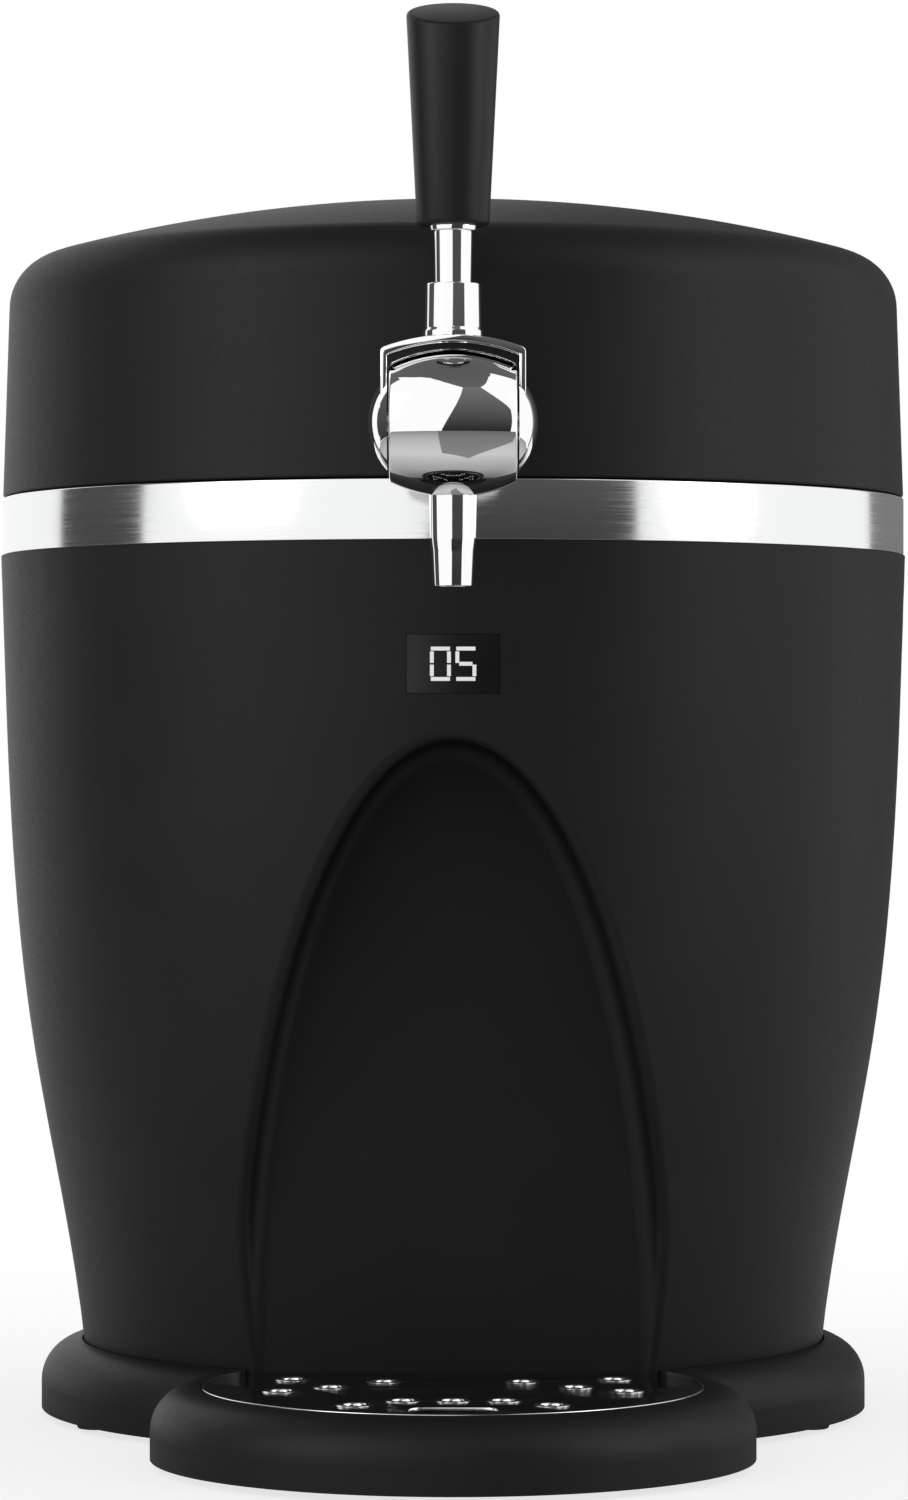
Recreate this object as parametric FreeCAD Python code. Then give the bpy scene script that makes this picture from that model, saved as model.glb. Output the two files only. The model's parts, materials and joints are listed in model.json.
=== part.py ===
import FreeCAD, Part
import math
import os

V = FreeCAD.Vector
X_AXIS = V(1, 0, 0)
Y_AXIS = V(0, 1, 0)
Z_AXIS = V(0, 0, 1)

# Mini keg beer dispenser: a chilled barrel-shaped body for a 5 litre keg, a hinged lid that carries
# the tap, and a drip tray docked in the base. Millimetres. While it is built, the keg's axis is the
# Z axis, the front is -Y and z = 0 is the underside of the base; FRAME_SHIFT then moves it all so
# that the origin is on the table, under the middle of the footprint.

# --- walls and clearances -------------------------------------------------------------------------
WALL = 2.5
GAP = 0.5
CLEAR = 0.3
SNAP_PLAY = 0.1
SPINDLE_PLAY = 0.06
SCREW_R = 1.5
SCREW_HEAD_R = 2.8
SCREW_HEAD_T = 1.2
SCREW_L = 10.0
FAR = 400.0

# --- base and feet --------------------------------------------------------------------------------
BASE_SHOULDER_Z = 8.3
BASE_ROUND = 12.7
BASE_FLARE = 13.6
BASE_DECK_T = WALL
BODY_SEAT = 4.0
BODY_GROOVE = 1.1
COVER_Z = 0.4
COVER_T = 2.0
FOOT_DROP = 2.0
FOOT_R = 6.0
FOOT_EDGE = 0.8
FOOT_INSET = 9.0
FOOT_ANGLES = (65.0, 140.0, 220.0, 295.0)
BOSS_R = 4.0
BOSS_INSET = 32.0
BOSS_ANGLES = (45.0, 135.0, 225.0, 315.0)
WIRE_HOLE_R = 7.0
WIRE_HOLE_INSET = 10.4
VENTS = 9
VENT_HALF = 30.0
VENT_Y0 = 40.0
VENT_W = 3.0
VENT_PITCH = 6.0
BODY_Z0 = BASE_SHOULDER_Z + BASE_ROUND - BODY_SEAT
COVER_TOP_Z = COVER_Z + COVER_T

# --- keg and its well -----------------------------------------------------------------------------
KEG_R = 86.0
KEG_H = 250.0
WELL_PLAY = 2.5
WELL_WALL = 1.0
WELL_LIFT = 21.0
WELL_FLOOR_T = 1.5
WELL_FLANGE_W = 7.5
WELL_FLANGE_T = 1.2
PAD_INSET = 16.0
PAD_T = 2.0
INSULATION_T = 11.2
WELL_R = KEG_R + WELL_PLAY
WELL_OUT_R = WELL_R + WELL_WALL
SLEEVE_IN_R = WELL_OUT_R + CLEAR
SLEEVE_OUT_R = SLEEVE_IN_R + INSULATION_T
WELL_FLOOR_Z = BODY_Z0 + WELL_LIFT
PAD_Z = WELL_FLOOR_Z + WELL_FLOOR_T
KEG_TOP_Z = PAD_Z + PAD_T + KEG_H

# --- body: as wide and as tall as the keg in it asks for ---------------------------------------------
BODY_FOOT_ROOM = 28.4
BODY_TOP_ROOM = 54.5
KEG_SHOWN = 28.1
# share of the body's height and share of its growth in radius, up the barrel's side
BARREL_CURVE = ((0.0, 0.0), (0.199, 0.287), (0.392, 0.620), (0.594, 0.835), (0.796, 0.937), (1.0, 1.0))
NECK_STEP = 2.0
NECK_H = 13.6
BAND_STEP = 0.5
BAND_T = 1.2
BAND_H = 17.8
TOP_DECK_T = 4.0
DECK_SKIRT_H = 8.0
BODY_R0 = KEG_R + BODY_FOOT_ROOM
BODY_R1 = KEG_R + BODY_TOP_ROOM
BODY_Z1 = KEG_TOP_Z - KEG_SHOWN
NECK_R = BODY_R1 - NECK_STEP
NECK_Z1 = BODY_Z1 + NECK_H
BAND_R = BODY_R1 - BAND_STEP
BAND_Z1 = BODY_Z1 + BAND_H
TOP_DECK_Z = NECK_Z1 + TOP_DECK_T
BASE_R = BODY_R0 + BASE_FLARE
FOOT_PITCH_R = BASE_R - FOOT_INSET
BOSS_PITCH_R = BASE_R - BOSS_INSET

# --- glass niche in the front ---------------------------------------------------------------------
NICHE_ROOM = 6.0
NICHE_HALF = 61.3
NICHE_SPRING_Z = 22.0
NICHE_DROP = 57.4
NICHE_ROUND = 6.0
NICHE_RIM = 3.0
NICHE_Y = -(WELL_OUT_R + NICHE_ROOM + WALL)
NICHE_TOP_Z = BODY_Z1 - NICHE_DROP

# --- drip tray ------------------------------------------------------------------------------------
TRAY_R = 87.1
TRAY_REACH = 37.0
TRAY_SHOULDER_Z = 8.0
TRAY_ROUND = 12.5
TRAY_BACK_GAP = 1.5
TRAY_RIM_W = 14.8
BOWL_FLOOR_Z = 3.0
GRID_T = 2.0
GRID_PLAY = 0.4
GRID_SINK = 0.5
GRID_LEDGE = 3.0
EYELET_R = 5.2
EYELET_BORE_R = 3.1
EYELET_BRIM = 0.8
EYELET_T = 0.8
FINGER_SLOT_HALF = 12.3
FINGER_SLOT_NEAR = 49.0
FINGER_SLOT_FAR = 61.0
FINGER_SLOT_ROUND = 4.0
# drain holes in the grid: how far to each side and how far back from the tray's centre, and the middle one
DRAIN_PAIRS = ((14.2, -33.6), (27.7, -43.9), (49.5, -10.0), (35.3, 0.0), (20.0, 14.0), (47.0, 20.0))
DRAIN_MIDDLE = (0.0, -33.6)
TRAY_FOOT_R = 6.0
TRAY_FOOT_X = 46.0
TRAY_FOOT_BACK = -38.0
TRAY_FOOT_LIFT = 0.2
TRAY_Y = NICHE_Y - TRAY_REACH
TRAY_BACK_Y = NICHE_Y - TRAY_BACK_GAP
TRAY_TOP_Z = TRAY_SHOULDER_Z + TRAY_ROUND
GRID_TOP_Z = TRAY_TOP_Z - GRID_SINK
GRID_R = TRAY_R - TRAY_RIM_W

# --- lid ------------------------------------------------------------------------------------------
LID_STEP = 0.6
LID_DRAFT = 1.94
LID_SHOULDER = 16.56
DOME_R = 474.0
LID_H = 91.35
LINER_INSET = 9.9
LINER_ROOF_T = 2.0
LINER_RIM_LIFT = 1.3
LINER_RIM_T = 2.0
LINER_SHELF_LIFT = 3.6
LINER_SHELF_T = 2.0
GASKET_STEP = 10.5
GASKET_W = 6.0
LID_R0 = BODY_R1 - LID_STEP
LID_R1 = LID_R0 - LID_DRAFT
LID_Z0 = BAND_Z1 + GAP
DOME_TOP_Z = LID_Z0 + LID_H
LINER_R = LID_R0 - LINER_INSET
GASKET_R = WELL_OUT_R + GASKET_STEP

# --- lid hinge ------------------------------------------------------------------------------------
KNUCKLE_R = 4.0
KNUCKLE_HALF = 9.0
HINGE_PIN_R = 2.0
HINGE_PIN_HEAD_R = 3.2
HINGE_PIN_HEAD_T = 2.2
HINGE_HALF = 25.0
HINGE_STANDOFF = 0.6
LEAF_REACH = 12.5
LEAF_H = 26.0
RIVET_X = 14.0
RIVET_RISE = 19.0
BRACKET_SCREW_X = 16.0
BRACKET_SCREW_RISE = 8.0
BAND_GAP_PLAY = 2.0
HINGE_Y = LID_R0 + KNUCKLE_R + HINGE_STANDOFF
HINGE_Z = LID_Z0 + CLEAR
BAND_GAP_HALF = HINGE_HALF + BAND_GAP_PLAY

# --- tap, fixed part --------------------------------------------------------------------------------
DRUM_HALF = 17.9
DRUM_R = 20.8
DRUM_END_R = 16.8
DRUM_EDGE = 0.9
TAP_NECK_R = 11.0
TAP_REACH = 31.0
TAP_LIFT = 13.3
FLANGE_R = 18.5
FLANGE_EDGE = 1.2
FLANGE_T = 3.5
FLANGE_STEP = 1.1
SHANK_R = 8.0
SHANK_BORE_R = 5.0
SHANK_REACH = 29.0
SHANK_BARB_L = 8.0
NUT_R = 15.0
NUT_T = 5.5
CHAMBER_R = 13.0
CHAMBER_HALF = 8.0
SPOUT_DROP = 45.8
SPOUT_BORE_R = 4.2
SPOUT_COLLAR_R = 6.85
SPOUT_COLLAR_DEPTH = 4.0
# radius and height above the tip of the spout's waist, its tip's shoulder and its tip
SPOUT_STEPS = ((6.55, 13.0), (6.1, 9.6), (5.65, 0.0))
SPOUT_BACK = 2.8
FLANGE_Y = -(LID_R0 + FLANGE_STEP)
TAP_Y = FLANGE_Y - TAP_REACH
TAP_Z = LID_Z0 + TAP_LIFT
SHANK_TAIL_Y = FLANGE_Y + SHANK_REACH
SPOUT_TIP_Z = TAP_Z - SPOUT_DROP
SPOUT_Y = TAP_Y + SPOUT_BACK

# --- tap, moving part -----------------------------------------------------------------------------
SPINDLE_R = 4.0
CRANK = 5.5
CRANK_PIN_R = 1.6
WEB_R = 7.6
WEB_IN = 4.0
WEB_OUT = 6.5
STEM_R = 2.5
STEM_L = 44.0
STEM_CHEEK_T = 2.2
STEM_SLOT_FLOOR = 1.6
PLUG_L = 5.0
YOKE_IN = 18.5
YOKE_T = 1.85
YOKE_DEPTH = 17.0
YOKE_ARCH_RISE = 3.8
YOKE_CORNER = 1.6
YOKE_RISE = 24.3
CAP_SPHERE_R = 19.1
CAP_TIP = 24.0
COLLAR_R = 7.9
COLLAR_FOOT_R = 8.5
COLLAR_FOOT_H = 1.6
COLLAR_H = 14.7
ROD_R = 5.4
ROD_SHOWN = 16.2
ROD_GRIP = 22.0
FERRULE_R = 6.6
FERRULE_H = 1.6
HANDLE_R0 = 10.2
HANDLE_R1 = 13.2
HANDLE_H = 60.0
HANDLE_SLANT = 19.3
HANDLE_EDGE = 1.2
YOKE_OUT = YOKE_IN + YOKE_T
YOKE_TOP_Z = TAP_Z + YOKE_RISE
COLLAR_Z1 = YOKE_TOP_Z + COLLAR_H
HANDLE_Z0 = COLLAR_Z1 + ROD_SHOWN
HANDLE_TOP_Z = HANDLE_Z0 + HANDLE_H

# --- beer and gas lines in the lid ----------------------------------------------------------------
CONNECTOR_R = 16.0
CONNECTOR_LIFT = 8.5
CONNECTOR_H = 31.0
CONNECTOR_FLANGE_R = 22.0
CONNECTOR_FLANGE_T = 3.0
PROBE_R = 4.0
PROBE_L = 6.0
SEAL_R = 7.0
SEAL_T = 2.5
BEER_PORT_RISE = 7.0
GAS_RISE = 17.0
HOSE_R = 4.5
HOSE_BORE_R = 2.6
BEER_BARB_R = 3.1
BEER_BARB_BORE_R = 2.2
BARB_L = 10.0
CLIP_W = 4.0
CLIP_T = 1.1
CLIP_SETBACK = 1.5
GAS_HOSE_R = 3.0
GAS_BARB_R = 1.6
GAS_BARB_PLAY = 0.4
REGULATOR_X = 58.0
REGULATOR_Y = 36.0
REGULATOR_HALF_X = 22.0
REGULATOR_HALF_Y = 17.0
REGULATOR_RISE = 5.0
REGULATOR_STUD_R = 3.0
REGULATOR_STUD_L = 5.0
KNOB_R = 11.0
KNOB_H = 9.0
KNURLS = 12
CARTRIDGE_R = 11.0
CARTRIDGE_L = 89.0
CARTRIDGE_SLEEVE_T = 1.7
CARTRIDGE_CAP_H = 9.0
CARTRIDGE_PLUG_L = 6.0
CARTRIDGE_END_T = 2.0
CARTRIDGE_RIB_INSET = 20.0
CARTRIDGE_RIB_HALF = 6.0
CONNECTOR_Z0 = KEG_TOP_Z + CONNECTOR_LIFT
BEER_PORT_Z = CONNECTOR_Z0 + BEER_PORT_RISE
GAS_Z = CONNECTOR_Z0 + GAS_RISE
LINER_ROOF_Z = CONNECTOR_Z0 + CONNECTOR_H
LINER_TOP_Z = LINER_ROOF_Z + LINER_ROOF_T
REGULATOR_Z0 = CONNECTOR_Z0 + REGULATOR_RISE
REGULATOR_X0 = REGULATOR_X - REGULATOR_HALF_X
REGULATOR_Y0 = REGULATOR_Y - REGULATOR_HALF_Y
CARTRIDGE_BORE_R = CARTRIDGE_R + CLEAR
CARTRIDGE_SLEEVE_Y0 = REGULATOR_Y0 - CARTRIDGE_END_T - CARTRIDGE_L - CARTRIDGE_PLUG_L

# --- display ----------------------------------------------------------------------------------------
DISPLAY_W = 26.7
DISPLAY_H = 16.8
DISPLAY_DROP = 35.5
WINDOW_PLAY = 0.15
DIGIT_W = 6.0
DIGIT_H = 9.8
DIGIT_PITCH = 7.3
DIGIT_STROKE = 1.1
DIGIT_T = 0.1
DISPLAY_BOARD_HALF = 17.0
DISPLAY_BOARD_TALL = 12.0
DISPLAY_BOARD_DEPTH = 9.0
DISPLAY_CARRIER_T = 2.0
DISPLAY_CARRIER_H = 6.2
LIGHT_BLOCK_HALF = 11.5
LIGHT_BLOCK_TALL = 6.5
LIGHT_BLOCK_H = 5.6
CHIP_HALF = 6.0
CHIP_H = 4.0
DISPLAY_Z = BODY_Z1 - DISPLAY_DROP

# --- cooling --------------------------------------------------------------------------------------
COOLER_DROP = 73.4
COLD_BLOCK = 40.0
COLD_BLOCK_T = 8.0
PELTIER_T = 4.0
SINK_W = 60.0
SINK_BASE_T = 3.0
SINK_T = 18.0
FIN_T = 1.5
FINS = 13
FAN_T = 10.0
FAN_WALL = 2.0
FAN_HUB_R = 12.0
FAN_SPOKE_T = 1.5
FAN_SHAFT_R = 1.5
FAN_TIP_PLAY = 1.0
FAN_BLADES = 7
FAN_SCREW_INSET = 5.0
GRILLE_SIDE = 6.0
GRILLE_END = 9.0
GRILLE_SLOTS = 11
GRILLE_SLOT_W = 3.6
GRILLE_MARGIN = 4.0
GRILLE_LAP = 4.0
GRILLE_LAP_T = 1.9
SENSOR_DROP = 66.0
SENSOR_HALF = 5.0
SENSOR_TALL = 4.0
SENSOR_T = 4.0
COOLER_Z = BODY_Z1 - COOLER_DROP
SENSOR_Z = COOLER_Z - SENSOR_DROP
PELTIER_Y = WELL_OUT_R + COLD_BLOCK_T
SINK_Y = PELTIER_Y + PELTIER_T
FAN_Y = SINK_Y + SINK_T
FAN_BORE_R = SINK_W / 2 - FAN_WALL
GRILLE_HALF = SINK_W / 2 + GRILLE_SIDE
GRILLE_TALL = SINK_W / 2 + GRILLE_END

# --- mains inlet, switch and power board --------------------------------------------------------------
PANEL_STEP = 9.6
PANEL_LIFT = 41.0
BEZEL_W = 2.0
INLET_X = -26.0
INLET_W = 28.0
INLET_H = 21.0
INLET_WALL = 4.0
INLET_PIN_R = 1.6
INLET_PIN_X = 5.0
ROCKER_X = 26.0
ROCKER_W = 14.0
ROCKER_H = 20.0
ROCKER_PIN_R = 1.2
ROCKER_TILT = 6.0
ROCKER_DEPTH = 5.5
ROCKER_HEEL_R = 8.6
BOARD_HALF_X = 45.0
BOARD_HALF_Y = 30.0
BOARD_T = 1.6
BOARD_LIFT = 2.0
# centre across and back, length, depth and height of each block on the power board
TRANSFORMER = (-22.0, -8.0, 28.0, 24.0, 9.0)
CHOKE = (12.0, -14.0, 16.0, 16.0, 8.0)
TERMINALS = (-10.0, 19.0, 40.0, 10.0, 7.0)
CAPACITOR_R = 5.0
CAPACITOR_H = 8.5
CAPACITOR_X = 30.0
CAPACITOR_Y = 10.0
BOARD_POST_R = 3.0
BOARD_POST_INSET_X = 7.0
BOARD_POST_INSET_Y = 6.0
PANEL_Y = BODY_R0 + PANEL_STEP
PANEL_BACK_Y = SLEEVE_OUT_R + GAP
INLET_Z = BODY_Z0 + PANEL_LIFT
ROCKER_PIVOT_Y = PANEL_Y - ROCKER_DEPTH

# --- place of the whole over its footprint ------------------------------------------------------------
REACH_FRONT = TRAY_R - TRAY_Y
REACH_REAR = HINGE_Y + KNUCKLE_R
AXIS_Y = (REACH_FRONT - REACH_REAR) / 2
FRAME_SHIFT = V(0, AXIS_Y, FOOT_DROP)


# --- plain solids ---------------------------------------------------------------------------------
def box(x0, x1, y0, y1, z0, z1):
    return Part.makeBox(x1 - x0, y1 - y0, z1 - z0, V(x0, y0, z0))


def cyl(r, z0, z1, x=0.0, y=0.0):
    return Part.makeCylinder(r, z1 - z0, V(x, y, z0), Z_AXIS)


def cyl_x(r, x0, x1, y, z):
    return Part.makeCylinder(r, x1 - x0, V(x0, y, z), X_AXIS)


def cyl_y(r, y0, y1, x, z):
    return Part.makeCylinder(r, y1 - y0, V(x, y0, z), Y_AXIS)


def ring(r_out, r_in, z0, z1):
    return cyl(r_out, z0, z1).cut(cyl(r_in, z0 - 1, z1 + 1))


def join(shapes):
    first = shapes[0]
    return first.multiFuse(shapes[1:]).removeSplitter()


def spun(edges, centre, axis):
    wire = Part.Wire(Part.__sortEdges__(edges))
    return Part.Face(wire).revolve(centre, axis, 360)


def polar(r, degrees):
    # 0 degrees is the front of the body, and the angle grows towards its right-hand side
    a = math.radians(degrees)
    return r * math.sin(a), -r * math.cos(a)


def block_without_corners(x0, x1, y0, y1, z0, z1, r):
    body = box(x0, x1, y0, y1, z0, z1)
    upright = [e for e in body.Edges if abs(e.tangentAt(e.FirstParameter).y) > 0.99]
    return body.makeFillet(r, upright)


# --- the forms that several pieces share ----------------------------------------------------------
def barrel(inset):
    rise = BODY_Z1 - BODY_Z0
    grow = BODY_R1 - BODY_R0
    pts = [V(BODY_R0 + r * grow - inset, 0, BODY_Z0 + h * rise) for h, r in BARREL_CURVE]
    curve = Part.BSplineCurve()
    curve.interpolate(pts)
    top = V(0, 0, BODY_Z1)
    foot = V(0, 0, BODY_Z0)
    edges = [curve.toShape(), Part.makeLine(pts[-1], top), Part.makeLine(top, foot)]
    edges.append(Part.makeLine(foot, pts[0]))
    return spun(edges, V(0, 0, 0), Z_AXIS)


def barrel_skin(out, deep):
    # the layer of the barrel from `out` outside its surface to `deep` below it
    return barrel(-out).cut(barrel(deep))


def niche(grow):
    # an arch-topped block in front of the niche's flat wall, with a rounded inner edge
    back = NICHE_Y + grow
    half = NICHE_HALF + grow
    rise = NICHE_TOP_Z + grow - NICHE_SPRING_Z
    low = BODY_Z0 - 10
    oval = Part.Ellipse(V(0, back, NICHE_SPRING_Z + rise), V(half, back, NICHE_SPRING_Z),
                        V(0, back, NICHE_SPRING_Z))
    arcs = [Part.ArcOfEllipse(oval, -math.pi / 2, 0).toShape(),
            Part.ArcOfEllipse(oval, 0, math.pi / 2).toShape()]
    a = arcs[0].Vertexes[0].Point
    b = arcs[1].Vertexes[-1].Point
    lines = [Part.makeLine(b, V(b.x, back, low)), Part.makeLine(V(b.x, back, low), V(a.x, back, low)),
             Part.makeLine(V(a.x, back, low), a)]
    block = Part.Face(Part.Wire(Part.__sortEdges__(arcs + lines))).extrude(V(0, -FAR, 0))
    rim = [e for e in block.Edges
           if all(abs(v.Point.y - back) < 1e-6 for v in e.Vertexes) and e.BoundBox.ZMax > low + 1]
    return block.makeFillet(NICHE_ROUND, rim)


def round_shouldered_disc(r, shoulder_z, rounding, inset):
    # a disc whose upper outer edge is a quarter round
    centre_r = r - rounding
    radius = rounding - inset
    outer = centre_r + radius
    top = shoulder_z + radius
    half = math.sqrt(0.5)
    edges = [Part.makeLine(V(0, 0, 0), V(outer, 0, 0)),
             Part.makeLine(V(outer, 0, 0), V(outer, 0, shoulder_z)),
             Part.Arc(V(outer, 0, shoulder_z), V(centre_r + radius * half, 0, shoulder_z + radius * half),
                      V(centre_r, 0, top)).toShape(),
             Part.makeLine(V(centre_r, 0, top), V(0, 0, top)),
             Part.makeLine(V(0, 0, top), V(0, 0, 0))]
    return spun(edges, V(0, 0, 0), Z_AXIS)


def tray_dock(grow):
    # the D-shaped room that the drip tray takes in the base
    disc = cyl(TRAY_R + grow, -FAR, FAR, 0, TRAY_Y)
    return disc.common(box(-FAR, FAR, -FAR, NICHE_Y + grow - GAP, -FAR, FAR))


def lid_form(inset):
    dome_r = DOME_R - inset
    dome_centre = DOME_TOP_Z - DOME_R
    arc_r = LID_SHOULDER - inset
    arc_x = LID_R1 - LID_SHOULDER
    arc_z = dome_centre + math.sqrt((DOME_R - LID_SHOULDER) ** 2 - arc_x ** 2)
    wall_top = V(arc_x + arc_r, 0, arc_z)
    wall_foot = V(LID_R0 - inset, 0, LID_Z0)
    slope = math.atan2(arc_z - dome_centre, arc_x)
    meet = V(arc_x + arc_r * math.cos(slope), 0, arc_z + arc_r * math.sin(slope))
    arc_mid = V(arc_x + arc_r * math.cos(slope / 2), 0, arc_z + arc_r * math.sin(slope / 2))
    apex = V(0, 0, dome_centre + dome_r)
    rise = (slope + math.pi / 2) / 2
    dome_mid = V(dome_r * math.cos(rise), 0, dome_centre + dome_r * math.sin(rise))
    foot = V(0, 0, LID_Z0)
    edges = [Part.makeLine(foot, wall_foot), Part.makeLine(wall_foot, wall_top),
             Part.Arc(wall_top, arc_mid, meet).toShape(), Part.Arc(meet, dome_mid, apex).toShape(),
             Part.makeLine(apex, foot)]
    return spun(edges, V(0, 0, 0), Z_AXIS)


def screw_up(x, y, z_head):
    # a round-headed screw that points up, its head's face at z_head
    z0 = z_head + SCREW_HEAD_T
    head = cyl(SCREW_HEAD_R, z_head, z0, x, y)
    return head.fuse(cyl(SCREW_R, z0, z0 + SCREW_L, x, y)).removeSplitter()


def knurled(knob, r, groove_r, spot):
    # `spot` gives the groove's cylinder at a point (across, up) on the knob's rim
    for i in range(KNURLS):
        a = math.radians(360 / KNURLS * i)
        knob = knob.cut(spot(groove_r, r * math.cos(a), r * math.sin(a)))
    return knob


def save(name, shape):
    placed = shape.copy()
    placed.translate(FRAME_SHIFT)
    placed.exportStep(os.path.join("parts", name + ".step"))


# --- body shell -----------------------------------------------------------------------------------
def display_opening(grow):
    half = DISPLAY_W / 2 + grow
    tall = DISPLAY_H / 2 + grow
    return box(-half, half, -FAR, -WELL_OUT_R, DISPLAY_Z - tall, DISPLAY_Z + tall)


def grille_opening(grow):
    half = GRILLE_HALF + grow
    tall = GRILLE_TALL + grow
    return box(-half, half, 0, FAR, COOLER_Z - tall, COOLER_Z + tall)


def inlet_opening(grow):
    half = INLET_W / 2 + grow
    tall = INLET_H / 2 + grow
    return box(INLET_X - half, INLET_X + half, 0, FAR, INLET_Z - tall, INLET_Z + tall)


def rocker_opening(grow):
    half = ROCKER_W / 2 + BEZEL_W + grow
    tall = ROCKER_H / 2 + BEZEL_W + grow
    return box(ROCKER_X - half, ROCKER_X + half, 0, FAR, INLET_Z - tall, INLET_Z + tall)


def niche_rim(solid):
    # the edges along which the niche meets the barrel's side
    rim = []
    for edge in solid.Edges:
        mid = edge.valueAt((edge.FirstParameter + edge.LastParameter) / 2)
        sides = [f.Surface.TypeId for f in solid.ancestorsOfType(edge, Part.Face)]
        at_niche = abs(mid.x) < NICHE_HALF and mid.y < 0 and BODY_Z0 + 1 < mid.z < BODY_Z1 - 1
        if at_niche and "Part::GeomSurfaceOfRevolution" in sides:
            rim.append(edge)
    return rim


def bracket_screw_holes(r):
    z = BODY_Z1 + BRACKET_SCREW_RISE
    return [cyl_y(r, WELL_OUT_R, HINGE_Y + KNUCKLE_R + 1, x, z) for x in (-BRACKET_SCREW_X, BRACKET_SCREW_X)]


def make_casing():
    hollowed = barrel(0).cut(niche(0))
    outside = hollowed.makeFillet(NICHE_RIM, niche_rim(hollowed)).fuse(cyl(NECK_R, BODY_Z1 - 1, NECK_Z1))
    room = barrel(WALL).common(box(-FAR, FAR, -FAR, FAR, BODY_Z0, BODY_Z1 - WALL))
    room = room.fuse(cyl(NECK_R - WALL, BODY_Z1 - WALL - 1, NECK_Z1 + 1))
    room = room.fuse(cyl(BODY_R0 - WALL, BODY_Z0 - 5, BODY_Z0 + 1)).cut(niche(WALL))
    shell = outside.cut(room)
    for opening in (display_opening(WINDOW_PLAY), grille_opening(CLEAR), inlet_opening(SNAP_PLAY),
                    rocker_opening(SNAP_PLAY)):
        shell = shell.cut(opening)
    return shell.cut(hinge_leaf_low(0.0)).cut(Part.makeCompound(bracket_screw_holes(SCREW_R)))


def make_band():
    band = ring(BAND_R, BAND_R - BAND_T, BODY_Z1, BAND_Z1)
    return band.cut(box(-BAND_GAP_HALF, BAND_GAP_HALF, 0, FAR, BODY_Z1 - 1, BAND_Z1 + 1))


def make_top_deck():
    plate = cyl(BAND_R - BAND_T - CLEAR, NECK_Z1, TOP_DECK_Z)
    skirt = cyl(NECK_R - WALL - CLEAR, NECK_Z1 - DECK_SKIRT_H, NECK_Z1 + 1).cut(
        cyl(NECK_R - 2 * WALL - CLEAR, 0, NECK_Z1 + 1))
    deck = plate.fuse(skirt).cut(cyl(WELL_OUT_R + CLEAR, 0, TOP_DECK_Z + 1))
    deck = deck.cut(cyl(WELL_OUT_R + WELL_FLANGE_W + GAP, TOP_DECK_Z - WELL_FLANGE_T, TOP_DECK_Z + 1))
    return deck.removeSplitter().cut(hinge_leaf_low(0.0))


def make_base():
    solid = round_shouldered_disc(BASE_R, BASE_SHOULDER_Z, BASE_ROUND, 0)
    solid = solid.cut(cyl(BODY_R0 + BODY_GROOVE, BODY_Z0, FAR)).cut(tray_dock(GAP))
    room = round_shouldered_disc(BASE_R, BASE_SHOULDER_Z, BASE_ROUND, WALL)
    room = room.common(box(-FAR, FAR, -FAR, FAR, -FAR, BODY_Z0 - BASE_DECK_T)).cut(tray_dock(GAP + WALL))
    room = room.fuse(room.translated(V(0, 0, -1)))
    shell = solid.cut(room)
    bosses = []
    for a in BOSS_ANGLES:
        x, y = polar(BOSS_PITCH_R, a)
        post = cyl(BOSS_R, COVER_TOP_Z, BODY_Z0 - BASE_DECK_T, x, y)
        bosses.append(post.cut(cyl(SCREW_R, 0, BODY_Z0 - BASE_DECK_T, x, y)))
    shell = join([shell] + bosses)
    for a in BOSS_ANGLES:
        x, y = polar(BOSS_PITCH_R, a)
        shell = shell.cut(cyl(SCREW_R, 0, BODY_Z0 - BASE_DECK_T - 1, x, y))
    return shell.cut(cyl(WIRE_HOLE_R, 0, FAR, 0, BODY_R0 - WIRE_HOLE_INSET))


def make_bottom_cover():
    plate = round_shouldered_disc(BASE_R, BASE_SHOULDER_Z, BASE_ROUND, WALL + CLEAR)
    plate = plate.common(box(-FAR, FAR, -FAR, FAR, COVER_Z, COVER_TOP_Z)).cut(tray_dock(GAP + WALL + CLEAR))
    for sx in (-1, 1):
        for sy in (-1, 1):
            x = sx * (BOARD_HALF_X - BOARD_POST_INSET_X)
            y = sy * (BOARD_HALF_Y - BOARD_POST_INSET_Y)
            plate = plate.fuse(cyl(BOARD_POST_R, COVER_TOP_Z - 1, COVER_TOP_Z + BOARD_LIFT, x, y))
    for a in BOSS_ANGLES:
        x, y = polar(BOSS_PITCH_R, a)
        plate = plate.cut(cyl(SCREW_R, -FAR, FAR, x, y))
    for i in range(VENTS):
        y = VENT_Y0 + i * VENT_PITCH
        plate = plate.cut(box(-VENT_HALF, VENT_HALF, y, y + VENT_W, -FAR, FAR))
    return plate.removeSplitter()


def make_feet():
    feet = []
    for a in FOOT_ANGLES:
        foot = cyl(FOOT_R, -FOOT_DROP, COVER_Z, *polar(FOOT_PITCH_R, a))
        lower = [e for e in foot.Edges if e.BoundBox.ZMax < -FOOT_DROP + 0.01]
        feet.append(foot.makeFillet(FOOT_EDGE, lower))
    return Part.makeCompound(feet)


def make_cover_screws():
    return Part.makeCompound([screw_up(*polar(BOSS_PITCH_R, a), COVER_Z - SCREW_HEAD_T) for a in BOSS_ANGLES])


# --- keg well and insulation ----------------------------------------------------------------------
def make_well():
    can = cyl(WELL_OUT_R, WELL_FLOOR_Z, TOP_DECK_Z).fuse(
        cyl(WELL_OUT_R + WELL_FLANGE_W, TOP_DECK_Z - WELL_FLANGE_T, TOP_DECK_Z))
    return can.cut(cyl(WELL_R, PAD_Z, TOP_DECK_Z + 1)).removeSplitter()


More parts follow.
